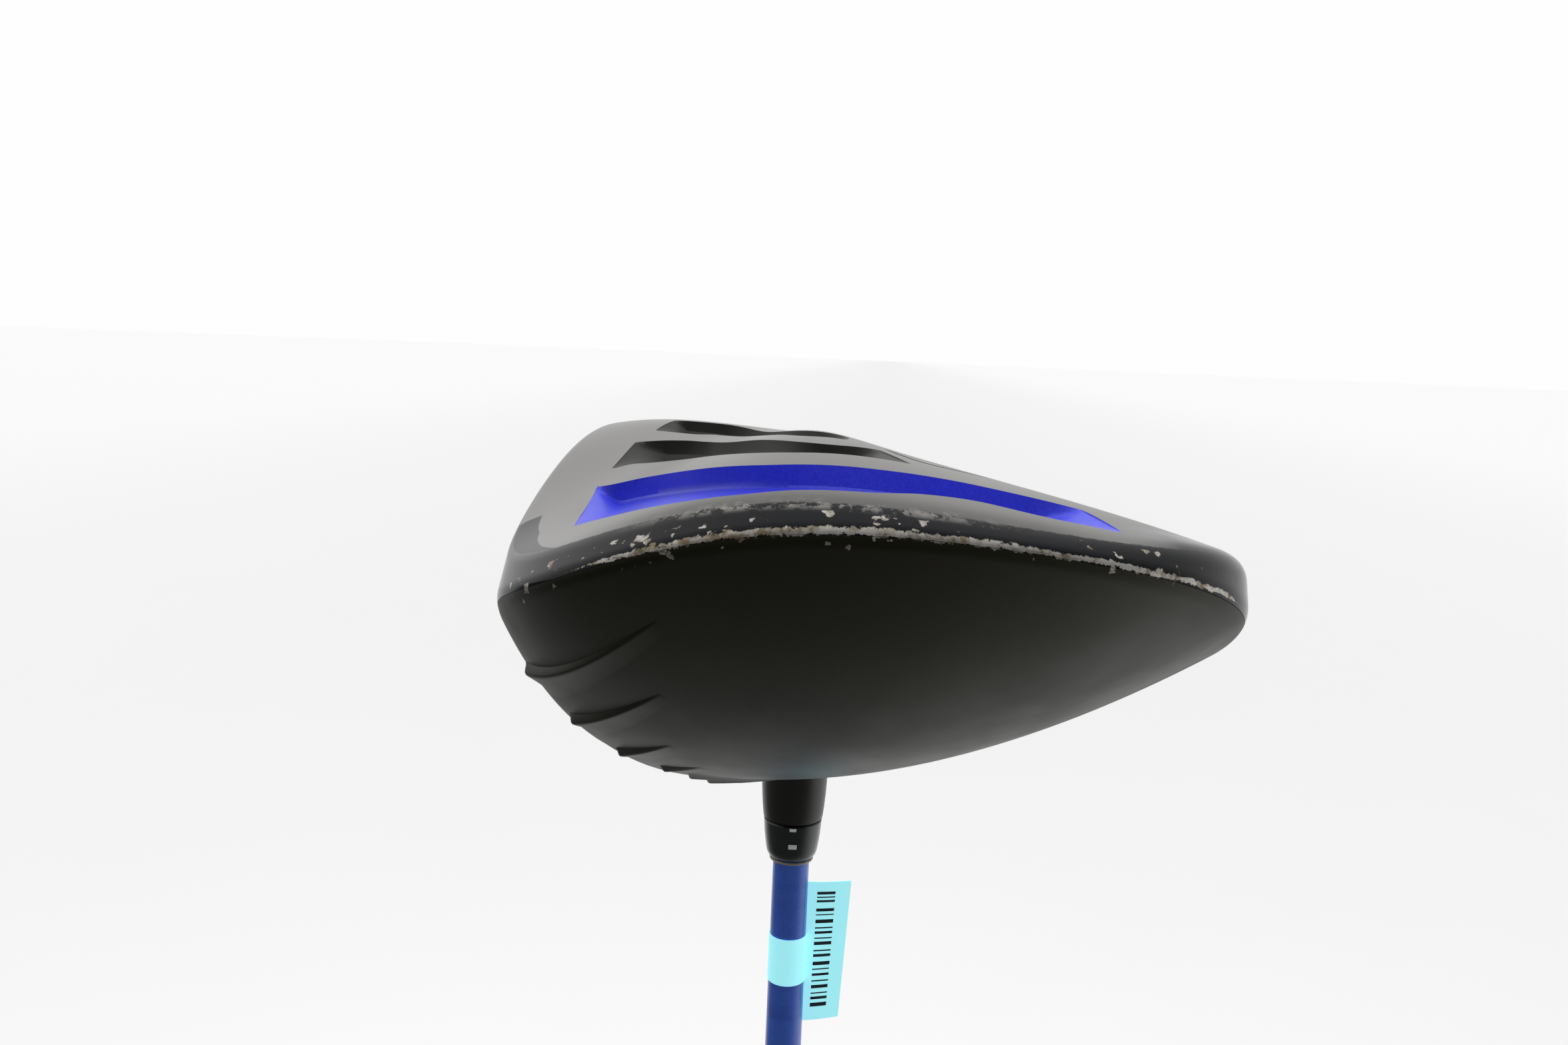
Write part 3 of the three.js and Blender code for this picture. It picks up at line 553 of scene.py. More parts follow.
def channel_cutter(channel, side, materials):
    """The space of one channel: a steep inner wall, a floor, a chamfered outer lip, and ramps at both
    ends."""
    shares = np.linspace(0, 1, CHANNEL_RINGS)
    inner = curve(channel["inner"], shares)
    outer = curve(channel["outer"], shares)
    if side < 0:
        inner, outer = heel_side(inner), heel_side(outer)
    width = np.linalg.norm(outer - inner, axis=1)
    run = np.concatenate([[0], np.cumsum(np.linalg.norm(np.diff((inner + outer) / 2, axis=0), axis=1))])
    front, rear = channel["ramps"]
    ramp = np.clip(np.minimum(run / front, (run[-1] - run) / rear), 0, 1)
    depth = channel["depth"] * (0.04 + 0.96 * ramp)
    wall = np.minimum(1.0, width * 0.16)
    lip = np.minimum(1.3, width * 0.16)
    # Each entry: how far in from the inner edge in walls, or from the outer edge in lips, or across as a
    # share of the width, and the share of the depth.
    section = [
        ("wall", -0.35, -1), ("wall", 0, 0), ("wall", 0.45, 0.6), ("wall", 0.8, 0.88), ("wall", 1.25, 0.98),
        ("wall", 1.8, 1), ("share", 0.5, 0.93), ("share", 0.72, 0.72), ("lip", 1, 0.38), ("lip", 0.35, 0.1),
        ("lip", 0, 0), ("lip", -0.25, -1),
    ]
    across = (outer - inner) / width[:, None]
    reach = {"wall": lambda v: wall * v, "share": lambda v: width * v, "lip": lambda v: width - lip * v}
    rings = []
    for kind, value, deep in section:
        place = inner + across * reach[kind](value)[:, None]
        rings.append(sole_bowl.point(place[:, 0], place[:, 1], np.where(deep < 0, -2.5, deep * depth)))
    rings = np.swapaxes(np.array(rings), 0, 1)
    index = materials.index(PAINT[channel["paint"]])
    return closed_loft("channel_cutter", rings if side < 0 else rings[:, ::-1], materials, index)


def groove_cutter(points, width, depth, side, materials):
    """A narrow groove along a line on the sole."""
    shares = np.linspace(0, 1, GROOVE_RINGS)
    points = curve(points, shares)
    if side < 0:
        points = heel_side(points)
    along = np.gradient(points, axis=0)
    out = np.stack([-along[:, 1], along[:, 0]], -1) / np.linalg.norm(along, axis=1)[:, None]
    fade = np.clip(np.minimum(shares, 1 - shares) * 6, 0.05, 1)
    rings = []
    for across, deep in ((-0.6, -1), (-0.5, 0), (-0.35, 1), (0.1, 0.7), (0.5, 0), (0.6, -1)):
        place = points + out * across * width
        rings.append(sole_bowl.point(place[:, 0], place[:, 1], np.where(deep < 0, -1.5, deep * depth * fade)))
    return closed_loft("groove_cutter", np.swapaxes(np.array(rings), 0, 1), materials, 1)


def rod_cutter(radius, low, high, transform, materials, index=0, sides=SIDES):
    angles = round_angles(sides)
    ring = np.stack([radius * np.cos(angles), radius * np.sin(angles)], -1)
    rings = [np.concatenate([ring, np.full((sides, 1), z)], 1) for z in (low, high)]
    obj = closed_loft("rod_cutter", rings, materials, index)
    obj.data.transform(transform)
    return obj


def joined(objects):
    """One object from several, for use as a cutter. Its maps hold values far from any edge."""
    vertices, faces, indices = [], [], []
    for obj in objects:
        base = len(vertices)
        vertices.extend(v.co[:] for v in obj.data.vertices)
        for face in obj.data.polygons:
            faces.append([base + i for i in face.vertices])
            indices.append(face.material_index)
    materials = list(objects[0].data.materials)
    corners = np.full((sum(len(f) for f in faces), 2), 60.0)
    layers = [("edge", corners), ("sole", corners)]
    result = mesh_object("cutters", vertices, faces, materials, indices, layers)
    for obj in objects:
        bpy.data.objects.remove(obj)
    recalculate(result)
    return result


def weight_frame():
    """Where the back weight's port opens in the sole. Its own Z runs into the head."""
    turn = Vector((0, 0, 1)).rotation_difference(WEIGHT_INWARD)
    return Matrix.Translation(WEIGHT_MOUTH) @ turn.to_matrix().to_4x4()


def hosel_frame():
    """Turns a piece drawn along Z, with stations as heights, on to the shaft's axis in the head's frame."""
    return Matrix.Rotation(math.pi / 2 - LIE, 4, "X")


# ---------------------------------------------------------------- materials


class Recipe:
    """A material's nodes, with short calls for the kinds it uses."""

    def __init__(self, name):
        self.material = bpy.data.materials.new(name)
        self.material.use_nodes = True
        self.tree = self.material.node_tree
        self.tree.nodes.clear()
        self.surface = self.add("ShaderNodeBsdfPrincipled")
        output = self.add("ShaderNodeOutputMaterial")
        self.tree.links.new(self.surface.outputs[0], output.inputs["Surface"])

    def add(self, kind, **settings):
        node = self.tree.nodes.new(kind)
        for key, value in settings.items():
            setattr(node, key, value)
        return node

    def feed(self, socket, value):
        if isinstance(value, bpy.types.NodeSocket):
            self.tree.links.new(value, socket)
        elif hasattr(value, "__len__") and len(value) == 3 and socket.type == "RGBA":
            socket.default_value = (*value, 1)
        else:
            socket.default_value = value

    def set(self, **inputs):
        for key, value in inputs.items():
            self.feed(self.surface.inputs[key.replace("_", " ")], value)

    def math(self, operation, *values):
        node = self.add("ShaderNodeMath", operation=operation)
        for socket, value in zip(node.inputs, values):
            self.feed(socket, value)
        return node.outputs[0]

    def times(self, first, second):
        return self.math("MULTIPLY", first, second)

    def minus(self, first, second):
        return self.math("SUBTRACT", first, second)

    def plus(self, first, second):
        return self.math("ADD", first, second)

    def span(self, value, low, high, to_low=0.0, to_high=1.0):
        """A soft step: to_low where the value is low, to_high where it is high."""
        node = self.add("ShaderNodeMapRange", interpolation_type="SMOOTHSTEP")
        for socket, given in zip(node.inputs, (value, low, high, to_low, to_high)):
            self.feed(socket, given)
        return node.outputs[0]

    def coordinates(self, scale=(1, 1, 1)):
        place = self.add("ShaderNodeTexCoord").outputs["Object"]
        mapping = self.add("ShaderNodeMapping")
        self.feed(mapping.inputs["Vector"], place)
        mapping.inputs["Scale"].default_value = scale
        return mapping.outputs[0]

    def place(self):
        """The object's own X and Y, in metres."""
        split = self.add("ShaderNodeSeparateXYZ")
        self.feed(split.inputs[0], self.add("ShaderNodeTexCoord").outputs["Object"])
        return split.outputs[0], split.outputs[1]

    def noise(self, scale, detail=3.0, roughness=0.55, stretch=(1, 1, 1)):
        node = self.add("ShaderNodeTexNoise")
        self.feed(node.inputs["Vector"], self.coordinates(stretch))
        node.inputs["Scale"].default_value = scale
        node.inputs["Detail"].default_value = detail
        node.inputs["Roughness"].default_value = roughness
        return node.outputs["Fac"]

    def cells(self, scale, warp=0.0):
        """The distance to the middle of the cell, and the cell's own number from 0 to 1."""
        node = self.add("ShaderNodeTexVoronoi")
        vector = self.coordinates()
        if warp:
            noise = self.add("ShaderNodeTexNoise")
            self.feed(noise.inputs["Vector"], vector)
            noise.inputs["Scale"].default_value = scale * 1.7
            offset = self.add("ShaderNodeVectorMath", operation="SCALE")
            self.feed(offset.inputs[0], noise.outputs["Color"])
            offset.inputs["Scale"].default_value = warp / scale
            total = self.add("ShaderNodeVectorMath", operation="ADD")
            self.feed(total.inputs[0], vector)
            self.feed(total.inputs[1], offset.outputs[0])
            vector = total.outputs[0]
        self.feed(node.inputs["Vector"], vector)
        node.inputs["Scale"].default_value = scale
        split = self.add("ShaderNodeSeparateColor")
        self.feed(split.inputs[0], node.outputs["Color"])
        return node.outputs["Distance"], split.outputs[0]

    def map_value(self, name):
        node = self.add("ShaderNodeUVMap", uv_map=name)
        split = self.add("ShaderNodeSeparateXYZ")
        self.feed(split.inputs[0], node.outputs[0])
        return split.outputs[0], split.outputs[1]

    def steps(self, value, stops):
        """A value that follows the given (at, value) stops, for inputs from 0 to 1."""
        node = self.add("ShaderNodeValToRGB")
        elements = node.color_ramp.elements
        while len(elements) < len(stops):
            elements.new(0.5)
        for element, (at, level) in zip(elements, stops):
            element.position = at
            element.color = (level, level, level, 1)
        self.feed(node.inputs[0], value)
        return node.outputs[0]

    def mix(self, share, first, second):
        node = self.add("ShaderNodeMix", data_type="RGBA")
        self.feed(node.inputs["Factor"], share)
        self.feed(node.inputs[6], first)
        self.feed(node.inputs[7], second)
        return node.outputs[2]

    def blend(self, share, first, second):
        node = self.add("ShaderNodeMix", data_type="FLOAT")
        self.feed(node.inputs[0], share)
        self.feed(node.inputs[2], first)
        self.feed(node.inputs[3], second)
        return node.outputs[0]

    def bump(self, height, distance):
        """Raises the surface by up to the distance, in millimetres."""
        node = self.add("ShaderNodeBump")
        self.feed(node.inputs["Height"], height)
        node.inputs["Distance"].default_value = distance * MM
        node.inputs["Strength"].default_value = 1
        self.feed(self.surface.inputs["Normal"], node.outputs[0])


CROWN_BLACK = (0.0075, 0.0073, 0.0035)
GLOSS_BLACK = (0.003, 0.0035, 0.005)
BARE_METAL = (0.52, 0.50, 0.46)
TAN_METAL = (0.22, 0.175, 0.11)


# Stops along the share of the way round: half the worn band's width in mm, and how much of the edge is
# chipped.
WORN_BAND = [
    (0.0, 0), (0.2, 0), (0.255, 0.0), (0.272, 0.5), (0.30, 0.95),
    (0.39, 1.0), (0.405, 0.75), (0.455, 0.65), (0.475, 0.5), (0.488, 0),
]
CHIPPED = [(0.15, 0), (0.17, 0.9), (0.30, 1), (0.42, 0.8), (0.47, 0)]
# Chips by size: cells to the metre, a chip's radius in cells, and the share of cells that have none.
CHIPS = ((210, 0.26, 0.45), (520, 0.3, 0.4))


def wear(recipe):
    """How far paint is worn to bare metal: along the crown's edge, and as chips beside it."""
    place, past_edge = recipe.map_value("edge")
    share = recipe.math("DIVIDE", place, PLACES)
    ragged = recipe.minus(recipe.noise(1100, 6, 0.75), 0.5)
    drift = recipe.times(recipe.minus(recipe.noise(150, 3), 0.5), 1.6)
    reach = recipe.times(recipe.steps(share, WORN_BAND), recipe.plus(0.8, recipe.times(ragged, 3.4)))
    from_middle = recipe.math("ABSOLUTE", recipe.minus(recipe.minus(past_edge, 0.75), drift))
    band = recipe.span(recipe.minus(reach, from_middle), -0.02, 0.1)
    gap = recipe.minus(recipe.noise(520, 5, 0.7), recipe.span(share, 0.30, 0.32, 0.0, 0.14))
    band = recipe.times(band, recipe.minus(1, recipe.span(gap, 0.52, 0.58)))
    chips = []
    for scale, radius, bare in CHIPS:
        distance, pick = recipe.cells(scale, 1.1)
        chip = recipe.span(distance, radius, radius - 0.05)
        chips.append(recipe.times(chip, recipe.math("GREATER_THAN", pick, bare)))
    near = recipe.span(recipe.math("ABSOLUTE", recipe.minus(past_edge, 0.9)), 4.5, 1.0)
    amount = recipe.times(near, recipe.steps(share, CHIPPED))
    cloud = recipe.plus(recipe.noise(140, 3), recipe.times(amount, 0.16))
    chip = recipe.times(recipe.math("MAXIMUM", *chips), recipe.span(cloud, 0.56, 0.60))
    return recipe.math("MAXIMUM", band, recipe.times(chip, recipe.math("GREATER_THAN", amount, 0.02)))


def worn(recipe, colour, roughness, coat=0.0, metallic=0.0):
    """Sets the paint, with bare metal where it is worn through, and gives back where that is."""
    mask = wear(recipe)
    metal = recipe.mix(recipe.span(recipe.noise(330, 5, 0.7), 0.42, 0.62), BARE_METAL, TAN_METAL)
    recipe.set(
        Base_Color=recipe.mix(mask, colour, metal),
        Roughness=recipe.blend(mask, roughness, recipe.span(recipe.noise(1500, 3), 0.3, 0.7, 0.3, 0.6)),
        Metallic=recipe.blend(mask, metallic, 0.85),
        Coat_Weight=recipe.blend(mask, coat, 0.0),
    )
    return mask


def crown_material():
    """Matte warm black paint with a few pale specks."""
    recipe = Recipe("crown_matte")
    distance, pick = recipe.cells(75, 0.3)
    speck = recipe.times(recipe.span(distance, 0.035, 0.02), recipe.math("GREATER_THAN", pick, 0.86))
    colour = recipe.mix(speck, CROWN_BLACK, (0.12, 0.12, 0.1))
    colour = recipe.mix(recipe.span(recipe.noise(30, 4), 0.4, 0.8, 0, 0.25), colour, (0.017, 0.017, 0.012))
    mask = worn(recipe, colour, recipe.span(recipe.noise(60, 4), 0.3, 0.7, 0.42, 0.5))
    recipe.set(Specular_IOR_Level=0.26, Specular_Tint=(1, 0.96, 0.74))
    recipe.bump(recipe.minus(recipe.times(recipe.noise(5200, 2), 0.3), mask), 0.05)
    return recipe.material


# Stops along the share of the way round.
BLACK_REAR = [(0.425, 0), (0.45, 1), (0.53, 1), (0.6, 0)]
TOE_PATCH = [(0.162, 0), (0.166, 0.92), (0.2, 0.9), (0.225, 0.5), (0.24, 0.2), (0.25, 0)]
TOE_PATCH_WIDTH = 6.0
# Painted shade: these two sets of stops darken the sole's grey toward the back and by the skirt, where the
# light falls off.
PAINTED_SHADE_BACK = [(0.25, 0), (0.32, 1)]
PAINTED_SHADE_BY_SKIRT = [(0.26, 0), (0.3, 0.6), (0.4, 0.6), (0.42, 0)]
SCUFFED = [(0.28, 0), (0.31, 1), (0.372, 1), (0.40, 0)]


def satin_grey(recipe, share, past_sole):
    """The sole's grey, with painted shade: darker at the back and by the skirt, where the light falls off,
    and with a dark patch by the toe's front corner.
    """
    # Painted shade: the front is a lit grey and the back a darker, shaded copy of it, and the grey darkens
    # again by the skirt.
    front = recipe.mix(recipe.noise(45, 4), (0.27, 0.265, 0.258), (0.32, 0.315, 0.305))
    back = recipe.mix(recipe.noise(45, 4), (0.16, 0.156, 0.15), (0.20, 0.196, 0.19))
    grey = recipe.mix(recipe.steps(share, PAINTED_SHADE_BACK), front, back)
    painted_shade_by_skirt = recipe.times(recipe.span(past_sole, 6, 1), recipe.steps(share, PAINTED_SHADE_BY_SKIRT))
    grey = recipe.mix(painted_shade_by_skirt, grey, (0.06, 0.058, 0.055))
    patch_reach = recipe.times(recipe.steps(share, TOE_PATCH), TOE_PATCH_WIDTH)
    return recipe.mix(recipe.span(recipe.minus(patch_reach, past_sole), -0.1, 0.1), grey, (0.07, 0.07, 0.072))


def body_material():
    """Gloss black on the skirt, satin grey on the sole, with scuffs along the line where they meet."""
    recipe = Recipe("body_paint")
    place, past_sole = recipe.map_value("sole")
    share = recipe.math("DIVIDE", place, PLACES)
    ragged = recipe.times(recipe.minus(recipe.noise(700, 5, 0.7), 0.5), 1.6)
    rear = recipe.times(recipe.steps(share, BLACK_REAR), recipe.span(past_sole, 10, 4))
    satin = recipe.times(recipe.span(recipe.plus(past_sole, ragged), -0.3, 0.3), recipe.minus(1, rear))
    colour = recipe.mix(satin, GLOSS_BLACK, satin_grey(recipe, share, past_sole))
    near_line = recipe.span(recipe.math("ABSOLUTE", past_sole), 2.2, 0.3)
    streaks = recipe.span(recipe.noise(420, 6, 0.75), 0.46, 0.54)
    scuff = recipe.times(recipe.times(near_line, recipe.steps(share, SCUFFED)), streaks)
    scuff_colour = recipe.mix(recipe.noise(640, 4, 0.7), (0.02, 0.02, 0.018), (0.42, 0.40, 0.37))
    colour = recipe.mix(scuff, colour, scuff_colour)
    roughness = recipe.blend(scuff, recipe.blend(satin, 0.16, 0.38), 0.6)
    mask = worn(recipe, colour, roughness, coat=0.02, metallic=recipe.times(satin, 0.75))
    recipe.set(Coat_Roughness=0.12, Specular_IOR_Level=recipe.blend(satin, 0.1, 0.5))
    grain = recipe.times(recipe.noise(3500, 2), recipe.blend(satin, 0.03, 0.12))
    recipe.bump(recipe.minus(grain, recipe.plus(mask, recipe.times(scuff, 0.5))), 0.06)
    return recipe.material


def pocket_black_material():
    recipe = Recipe("pocket_black")
    colour = recipe.mix(recipe.noise(70, 3), (0.018, 0.018, 0.014), (0.028, 0.027, 0.022))
    recipe.set(Base_Color=colour, Roughness=0.42, Metallic=0.1)
    recipe.bump(recipe.noise(3500, 2), 0.01)
    return recipe.material


def pocket_blue_material():
    recipe = Recipe("pocket_blue")
    flake = recipe.cells(5200)[1]
    colour = recipe.mix(flake, (0.034, 0.042, 0.66), (0.048, 0.068, 0.82))
    colour = recipe.mix(recipe.span(recipe.noise(90, 4), 0.55, 0.75, 0, 0.3), colour, (0.015, 0.026, 0.45))
    recipe.set(Base_Color=colour, Roughness=0.4, Metallic=0.2, Coat_Weight=0.2, Coat_Roughness=0.25)
    recipe.bump(recipe.noise(3000, 2), 0.012)
    return recipe.material


def face_material():
    recipe = Recipe("face_brushed")
    lines = recipe.noise(900, 4, 0.6, stretch=(1, 0.05, 0.05))
    colour = recipe.mix(lines, (0.045, 0.046, 0.05), (0.085, 0.086, 0.09))
    recipe.set(Base_Color=colour, Roughness=recipe.span(lines, 0.3, 0.7, 0.3, 0.48), Metallic=0.8)
    recipe.bump(lines, 0.02)
    return recipe.material


def lacquer(name, dark, light, roughness, coat=0.6):
    """A painted or moulded surface: two close tones, a faint surface grain and fine handling marks."""
    recipe = Recipe(name)
    marks = recipe.span(recipe.noise(700, 6, 0.8), 0.62, 0.75)
    cloud = recipe.span(recipe.noise(160, 4), 0.3, 0.7, roughness, roughness + 0.08)
    recipe.set(
        Base_Color=recipe.mix(recipe.noise(80, 4), dark, light),
        Roughness=recipe.plus(cloud, recipe.times(marks, 0.08)),
        Coat_Weight=coat,
        Coat_Roughness=0.1,
    )
    recipe.bump(recipe.noise(3200, 2), 0.006)
    return recipe.material


def shaft_material():
    """Blue lacquer with fine flakes, faintly banded where the carbon fibre is wrapped."""
    recipe = Recipe("shaft_lacquer")
    flake = recipe.cells(9000)[1]
    wrap = recipe.noise(260, 2, 0.5, stretch=(0.2, 0.2, 1))
    colour = recipe.mix(flake, (0.035, 0.115, 0.60), (0.06, 0.18, 0.80))
    colour = recipe.mix(recipe.span(wrap, 0.45, 0.7, 0, 0.35), colour, (0.02, 0.07, 0.46))
    recipe.set(Base_Color=colour, Roughness=0.5, Coat_Weight=0.7, Coat_Roughness=0.06)
    recipe.bump(recipe.noise(1800, 2), 0.008)
    return recipe.material


def turned_metal(name, dark, light, roughness):
    """Machined metal, with fine lathe lines round its axis."""
    recipe = Recipe(name)
    lines = recipe.noise(2600, 3, 0.6, stretch=(0.15, 0.15, 1))
    cloud = recipe.span(recipe.noise(300, 4), 0.3, 0.7, roughness, roughness + 0.15)
    recipe.set(Base_Color=recipe.mix(lines, dark, light), Metallic=0.95, Roughness=cloud)
    recipe.bump(lines, 0.01)
    return recipe.material


def paper_painted_light_material():
    recipe = Recipe("label_paper_painted_light")
    fibre = recipe.noise(2400, 5, 0.7)
    colour = recipe.mix(fibre, (0.36, 0.90, 1.0), (0.42, 0.95, 1.0))
    recipe.set(Base_Color=colour, Roughness=0.55, Specular_IOR_Level=0.3)
    # Painted light: the paper glows so that it looks brightly lit.
    recipe.set(Emission_Color=colour, Emission_Strength=0.58)
    recipe.bump(fibre, 0.02)
    return recipe.material


def ink_material():
    recipe = Recipe("label_ink")
    fibre = recipe.noise(3000, 4, 0.7)
    recipe.set(Base_Color=recipe.mix(fibre, (0.012, 0.02, 0.03), (0.03, 0.045, 0.06)), Roughness=0.5)
    recipe.bump(fibre, 0.01)
    return recipe.material


def rubber_material():
    recipe = Recipe("grip_rubber")
    colour = recipe.mix(recipe.noise(500, 5, 0.7), (0.013, 0.013, 0.014), (0.03, 0.03, 0.031))
    recipe.set(Base_Color=colour, Roughness=recipe.span(recipe.noise(90, 4), 0.3, 0.7, 0.62, 0.8))
    recipe.bump(recipe.noise(2500, 4, 0.7), 0.06)
    return recipe.material


def cork_material():
    recipe = Recipe("cork")
    distance, pick = recipe.cells(900, 0.5)
    recipe.set(Base_Color=recipe.mix(pick, (0.30, 0.17, 0.08), (0.52, 0.34, 0.18)), Roughness=0.85)
    recipe.bump(distance, 0.2)
    return recipe.material


def glue_material():
    recipe = Recipe("glue")
    cloud = recipe.noise(260, 4)
    colour = recipe.mix(cloud, (0.42, 0.28, 0.10), (0.62, 0.46, 0.22))
    recipe.set(Base_Color=colour, Roughness=0.25, Subsurface_Weight=0.2)
    recipe.bump(cloud, 0.15)
    return recipe.material


def tape_material():
    recipe = Recipe("grip_tape")
    weave = recipe.noise(1600, 4, 0.7, stretch=(1, 1, 0.3))
    recipe.set(Base_Color=recipe.mix(weave, (0.55, 0.50, 0.36), (0.72, 0.68, 0.54)), Roughness=0.9)
    recipe.bump(weave, 0.05)
    return recipe.material


PAINT = {
    "crown": crown_material(),
    "body": body_material(),
    "pocket_black": pocket_black_material(),
    "pocket_blue": pocket_blue_material(),
    "face": face_material(),
    "neck": lacquer("neck_paint", (0.009, 0.009, 0.0065), (0.015, 0.014, 0.011), 0.36, coat=0.15),
    "ferrule": lacquer("ferrule_gloss", (0.010, 0.013, 0.0135), (0.015, 0.018, 0.0185), 0.24, coat=0.5),
    "bead": lacquer("bead_epoxy", (0.30, 0.26, 0.19), (0.42, 0.37, 0.28), 0.3),
    "mark": lacquer("index_white", (0.82, 0.84, 0.84), (0.92, 0.93, 0.93), 0.4, coat=0.1),
    "shaft": shaft_material(),
    "steel": turned_metal("screw_steel", (0.30, 0.30, 0.31), (0.44, 0.44, 0.45), 0.24),
    "weight": turned_metal("weight_metal", (0.12, 0.12, 0.13), (0.2, 0.2, 0.21), 0.36),
    "anodised": turned_metal("sleeve_anodised", (0.035, 0.037, 0.042), (0.06, 0.062, 0.07), 0.34),
    "paper": paper_painted_light_material(),
    "ink": ink_material(),
    "rubber": rubber_material(),
    "cork": cork_material(),
    "glue": glue_material(),
    "tape": tape_material(),
}

# ---------------------------------------------------------------- the head's pieces


def remove_faces(obj, index):
    """Deletes the faces that carry one material index, and the vertices that only they used."""
    shape = bmesh.new()
    shape.from_mesh(obj.data)
    doomed = [face for face in shape.faces if face.material_index == index]
    bmesh.ops.delete(shape, geom=doomed, context="FACES")
    loose = [v for v in shape.verts if not v.link_faces]
    bmesh.ops.delete(shape, geom=loose, context="VERTS")
    shape.to_mesh(obj.data)
    shape.free()


def cap_sheet(obj, ring, centre, index):
    """Closes an open sheet with a fan from a ring of its vertices to one point."""
    shape = bmesh.new()
    shape.from_mesh(obj.data)
    shape.verts.ensure_lookup_table()
    rim = [shape.verts[i] for i in ring]
    middle = shape.verts.new(Vector(centre))
    for a, b in zip(rim, rim[1:] + rim[:1]):
        face = shape.faces.new((b, a, middle))
        face.material_index = index
    bmesh.ops.recalc_face_normals(shape, faces=shape.faces)
    shape.to_mesh(obj.data)
    shape.free()


def nearest_indices(obj, points):
    """The object's vertices nearest to a ring of points."""
    tree = KDTree(len(obj.data.vertices))
    for vertex in obj.data.vertices:
        tree.insert(vertex.co, vertex.index)
    tree.balance()
    return [tree.find(Vector(point))[1] for point in points]


def thicken(obj):
    """Gives an open sheet the skin's thickness, inward."""
    solidify = obj.modifiers.new("skin", "SOLIDIFY")
    solidify.thickness = SKIN
    solidify.offset = -1
    solidify.use_rim = True
    applied(obj)


def cut_with(obj, cutters):
    """Cuts the cutters out of a piece and removes them."""
    cutter = joined(cutters)
    modifier = obj.modifiers.new("cut", "BOOLEAN")
    modifier.operation = "DIFFERENCE"
    modifier.solver = "EXACT"
    modifier.object = cutter
    applied(obj)
    bpy.data.objects.remove(cutter)


CAP_INDEX = 3  # a material that only the head's temporary cap carries
CAP_CENTRE = (12, 55, 46)


def head_body():
    """The sole, skirt and front of the head, with channels and ports cut out of it, as a thin shell."""
    materials = [PAINT["body"], PAINT["pocket_black"], PAINT["pocket_blue"], PAINT["steel"]]
    rows = body_rows()
    body = skin_sheet("sole_body", rows, True, materials)
    cap_sheet(body, nearest_indices(body, skin_grid(rows)[:, 0]), CAP_CENTRE, CAP_INDEX)
    cutters = [channel_cutter(channel, side, materials) for channel in CHANNELS for side in (1, -1)]
    cutters += [groove_cutter(*line, side, materials) for line in GROOVES for side in (1, -1)]
    weight_radius, weight_depth = WEIGHT_PORT
    screw_radius, screw_reach = SCREW_PORT
    cutters.append(rod_cutter(weight_radius, -10, weight_depth, weight_frame(), materials, 1))
    cutters.append(rod_cutter(screw_radius, -12, screw_reach, hosel_frame(), materials, 1))
    cut_with(body, cutters)
    remove_faces(body, CAP_INDEX)
    thicken(body)
    return finish_piece(body, HEAD_TO_CLUB, "head", "sole_shell", 30)


def head_crown():
    crown = skin_sheet("crown", crown_rows(), False, [PAINT["crown"]])
    thicken(crown)
    finish_piece(crown, HEAD_TO_CLUB, "head", "crown_shell", 40)


RIDGE_STATIONS = 70


def ridge_section():
    """Points across a ridge, from its steep side to the gentle one: (millimetres across, share of the
    height)."""
    crest = 0.45
    section = [(-RIDGE_STEEP - 0.15, -0.3), (-RIDGE_STEEP, 0.0), (-0.62, 0.42), (-0.32, 0.8), (-0.12, 0.96)]
    section += [(0.12, 1.0), (crest, 0.93)]
    section += [(crest + RIDGE_FOOT * s, 0.93 * (1 - s) ** 1.9) for s in np.linspace(0, 1, 12)[1:]]
    return section + [(crest + RIDGE_FOOT * 1.05, -0.3)]


def crown_ridge(name, start, length, height, side):
    """One ridge: a steep side to the outside, a rounded crest and a hollow gentle side that meets the
    crown."""
    shares = np.linspace(0, 1, RIDGE_STATIONS)
    x0, y0 = start[0], start[1] if side > 0 else 2 * RIDGE_MIRROR - start[1]
    tall = height * (1 - shares) ** 0.8 * np.sqrt(1 - (1 - np.clip(shares / 0.05, 0, 1)) ** 2)
    narrow = 0.45 + 0.55 * (1 - shares)
    cos_splay, sin_splay = math.cos(RIDGE_SPLAY), math.sin(RIDGE_SPLAY)
    section = ridge_section()
    top = [(across, up * tall - 0.04) for across, up in section]
    root = [(across, np.full_like(shares, -0.7)) for across, up in reversed(section)]
    rings = []
    for across, lift in top + root:
        x = x0 + shares * length * cos_splay + across * narrow * sin_splay
        y = y0 + side * (shares * length * sin_splay - across * narrow * cos_splay)
        rings.append(crown_bowl.point(x, y, lift))
    ridge = closed_loft(f"crown_ridge_{name}", np.swapaxes(np.array(rings), 0, 1), [PAINT["crown"]])
    corners = np.full(2 * len(ridge.data.loops), -60.0, np.float32)
    for map_name in ("edge", "sole"):
        ridge.data.uv_layers.new(name=map_name).data.foreach_set("uv", corners)
    recalculate(ridge)
    finish_piece(ridge, HEAD_TO_CLUB, "head", None, 50)


def score_cutter(points):
    """A shallow groove with sloping sides along points on the face."""
    section = ((-1, 0.45), (0.12, 0.3), (0.12, -0.3), (-1, -0.45))
    rings = [[(x + deep, y, z + across) for deep, across in section] for x, y, z in points]
    return closed_loft("score_cutter", rings, [PAINT["face"]])


FACE_RINGS, FACE_SPOKES = 40, 144


def face_place(share, angle):
    """A place on the face, toeward and up, at a share of the way from its middle to its rim."""
    a, b = FACE_RADII[0] * share * math.cos(angle), FACE_RADII[1] * share * math.sin(angle)
    cos_t, sin_t = math.cos(FACE_TILT), math.sin(FACE_TILT)
    return FACE_CENTRE[0] + a * cos_t - b * sin_t, FACE_CENTRE[1] + a * sin_t + b * cos_t


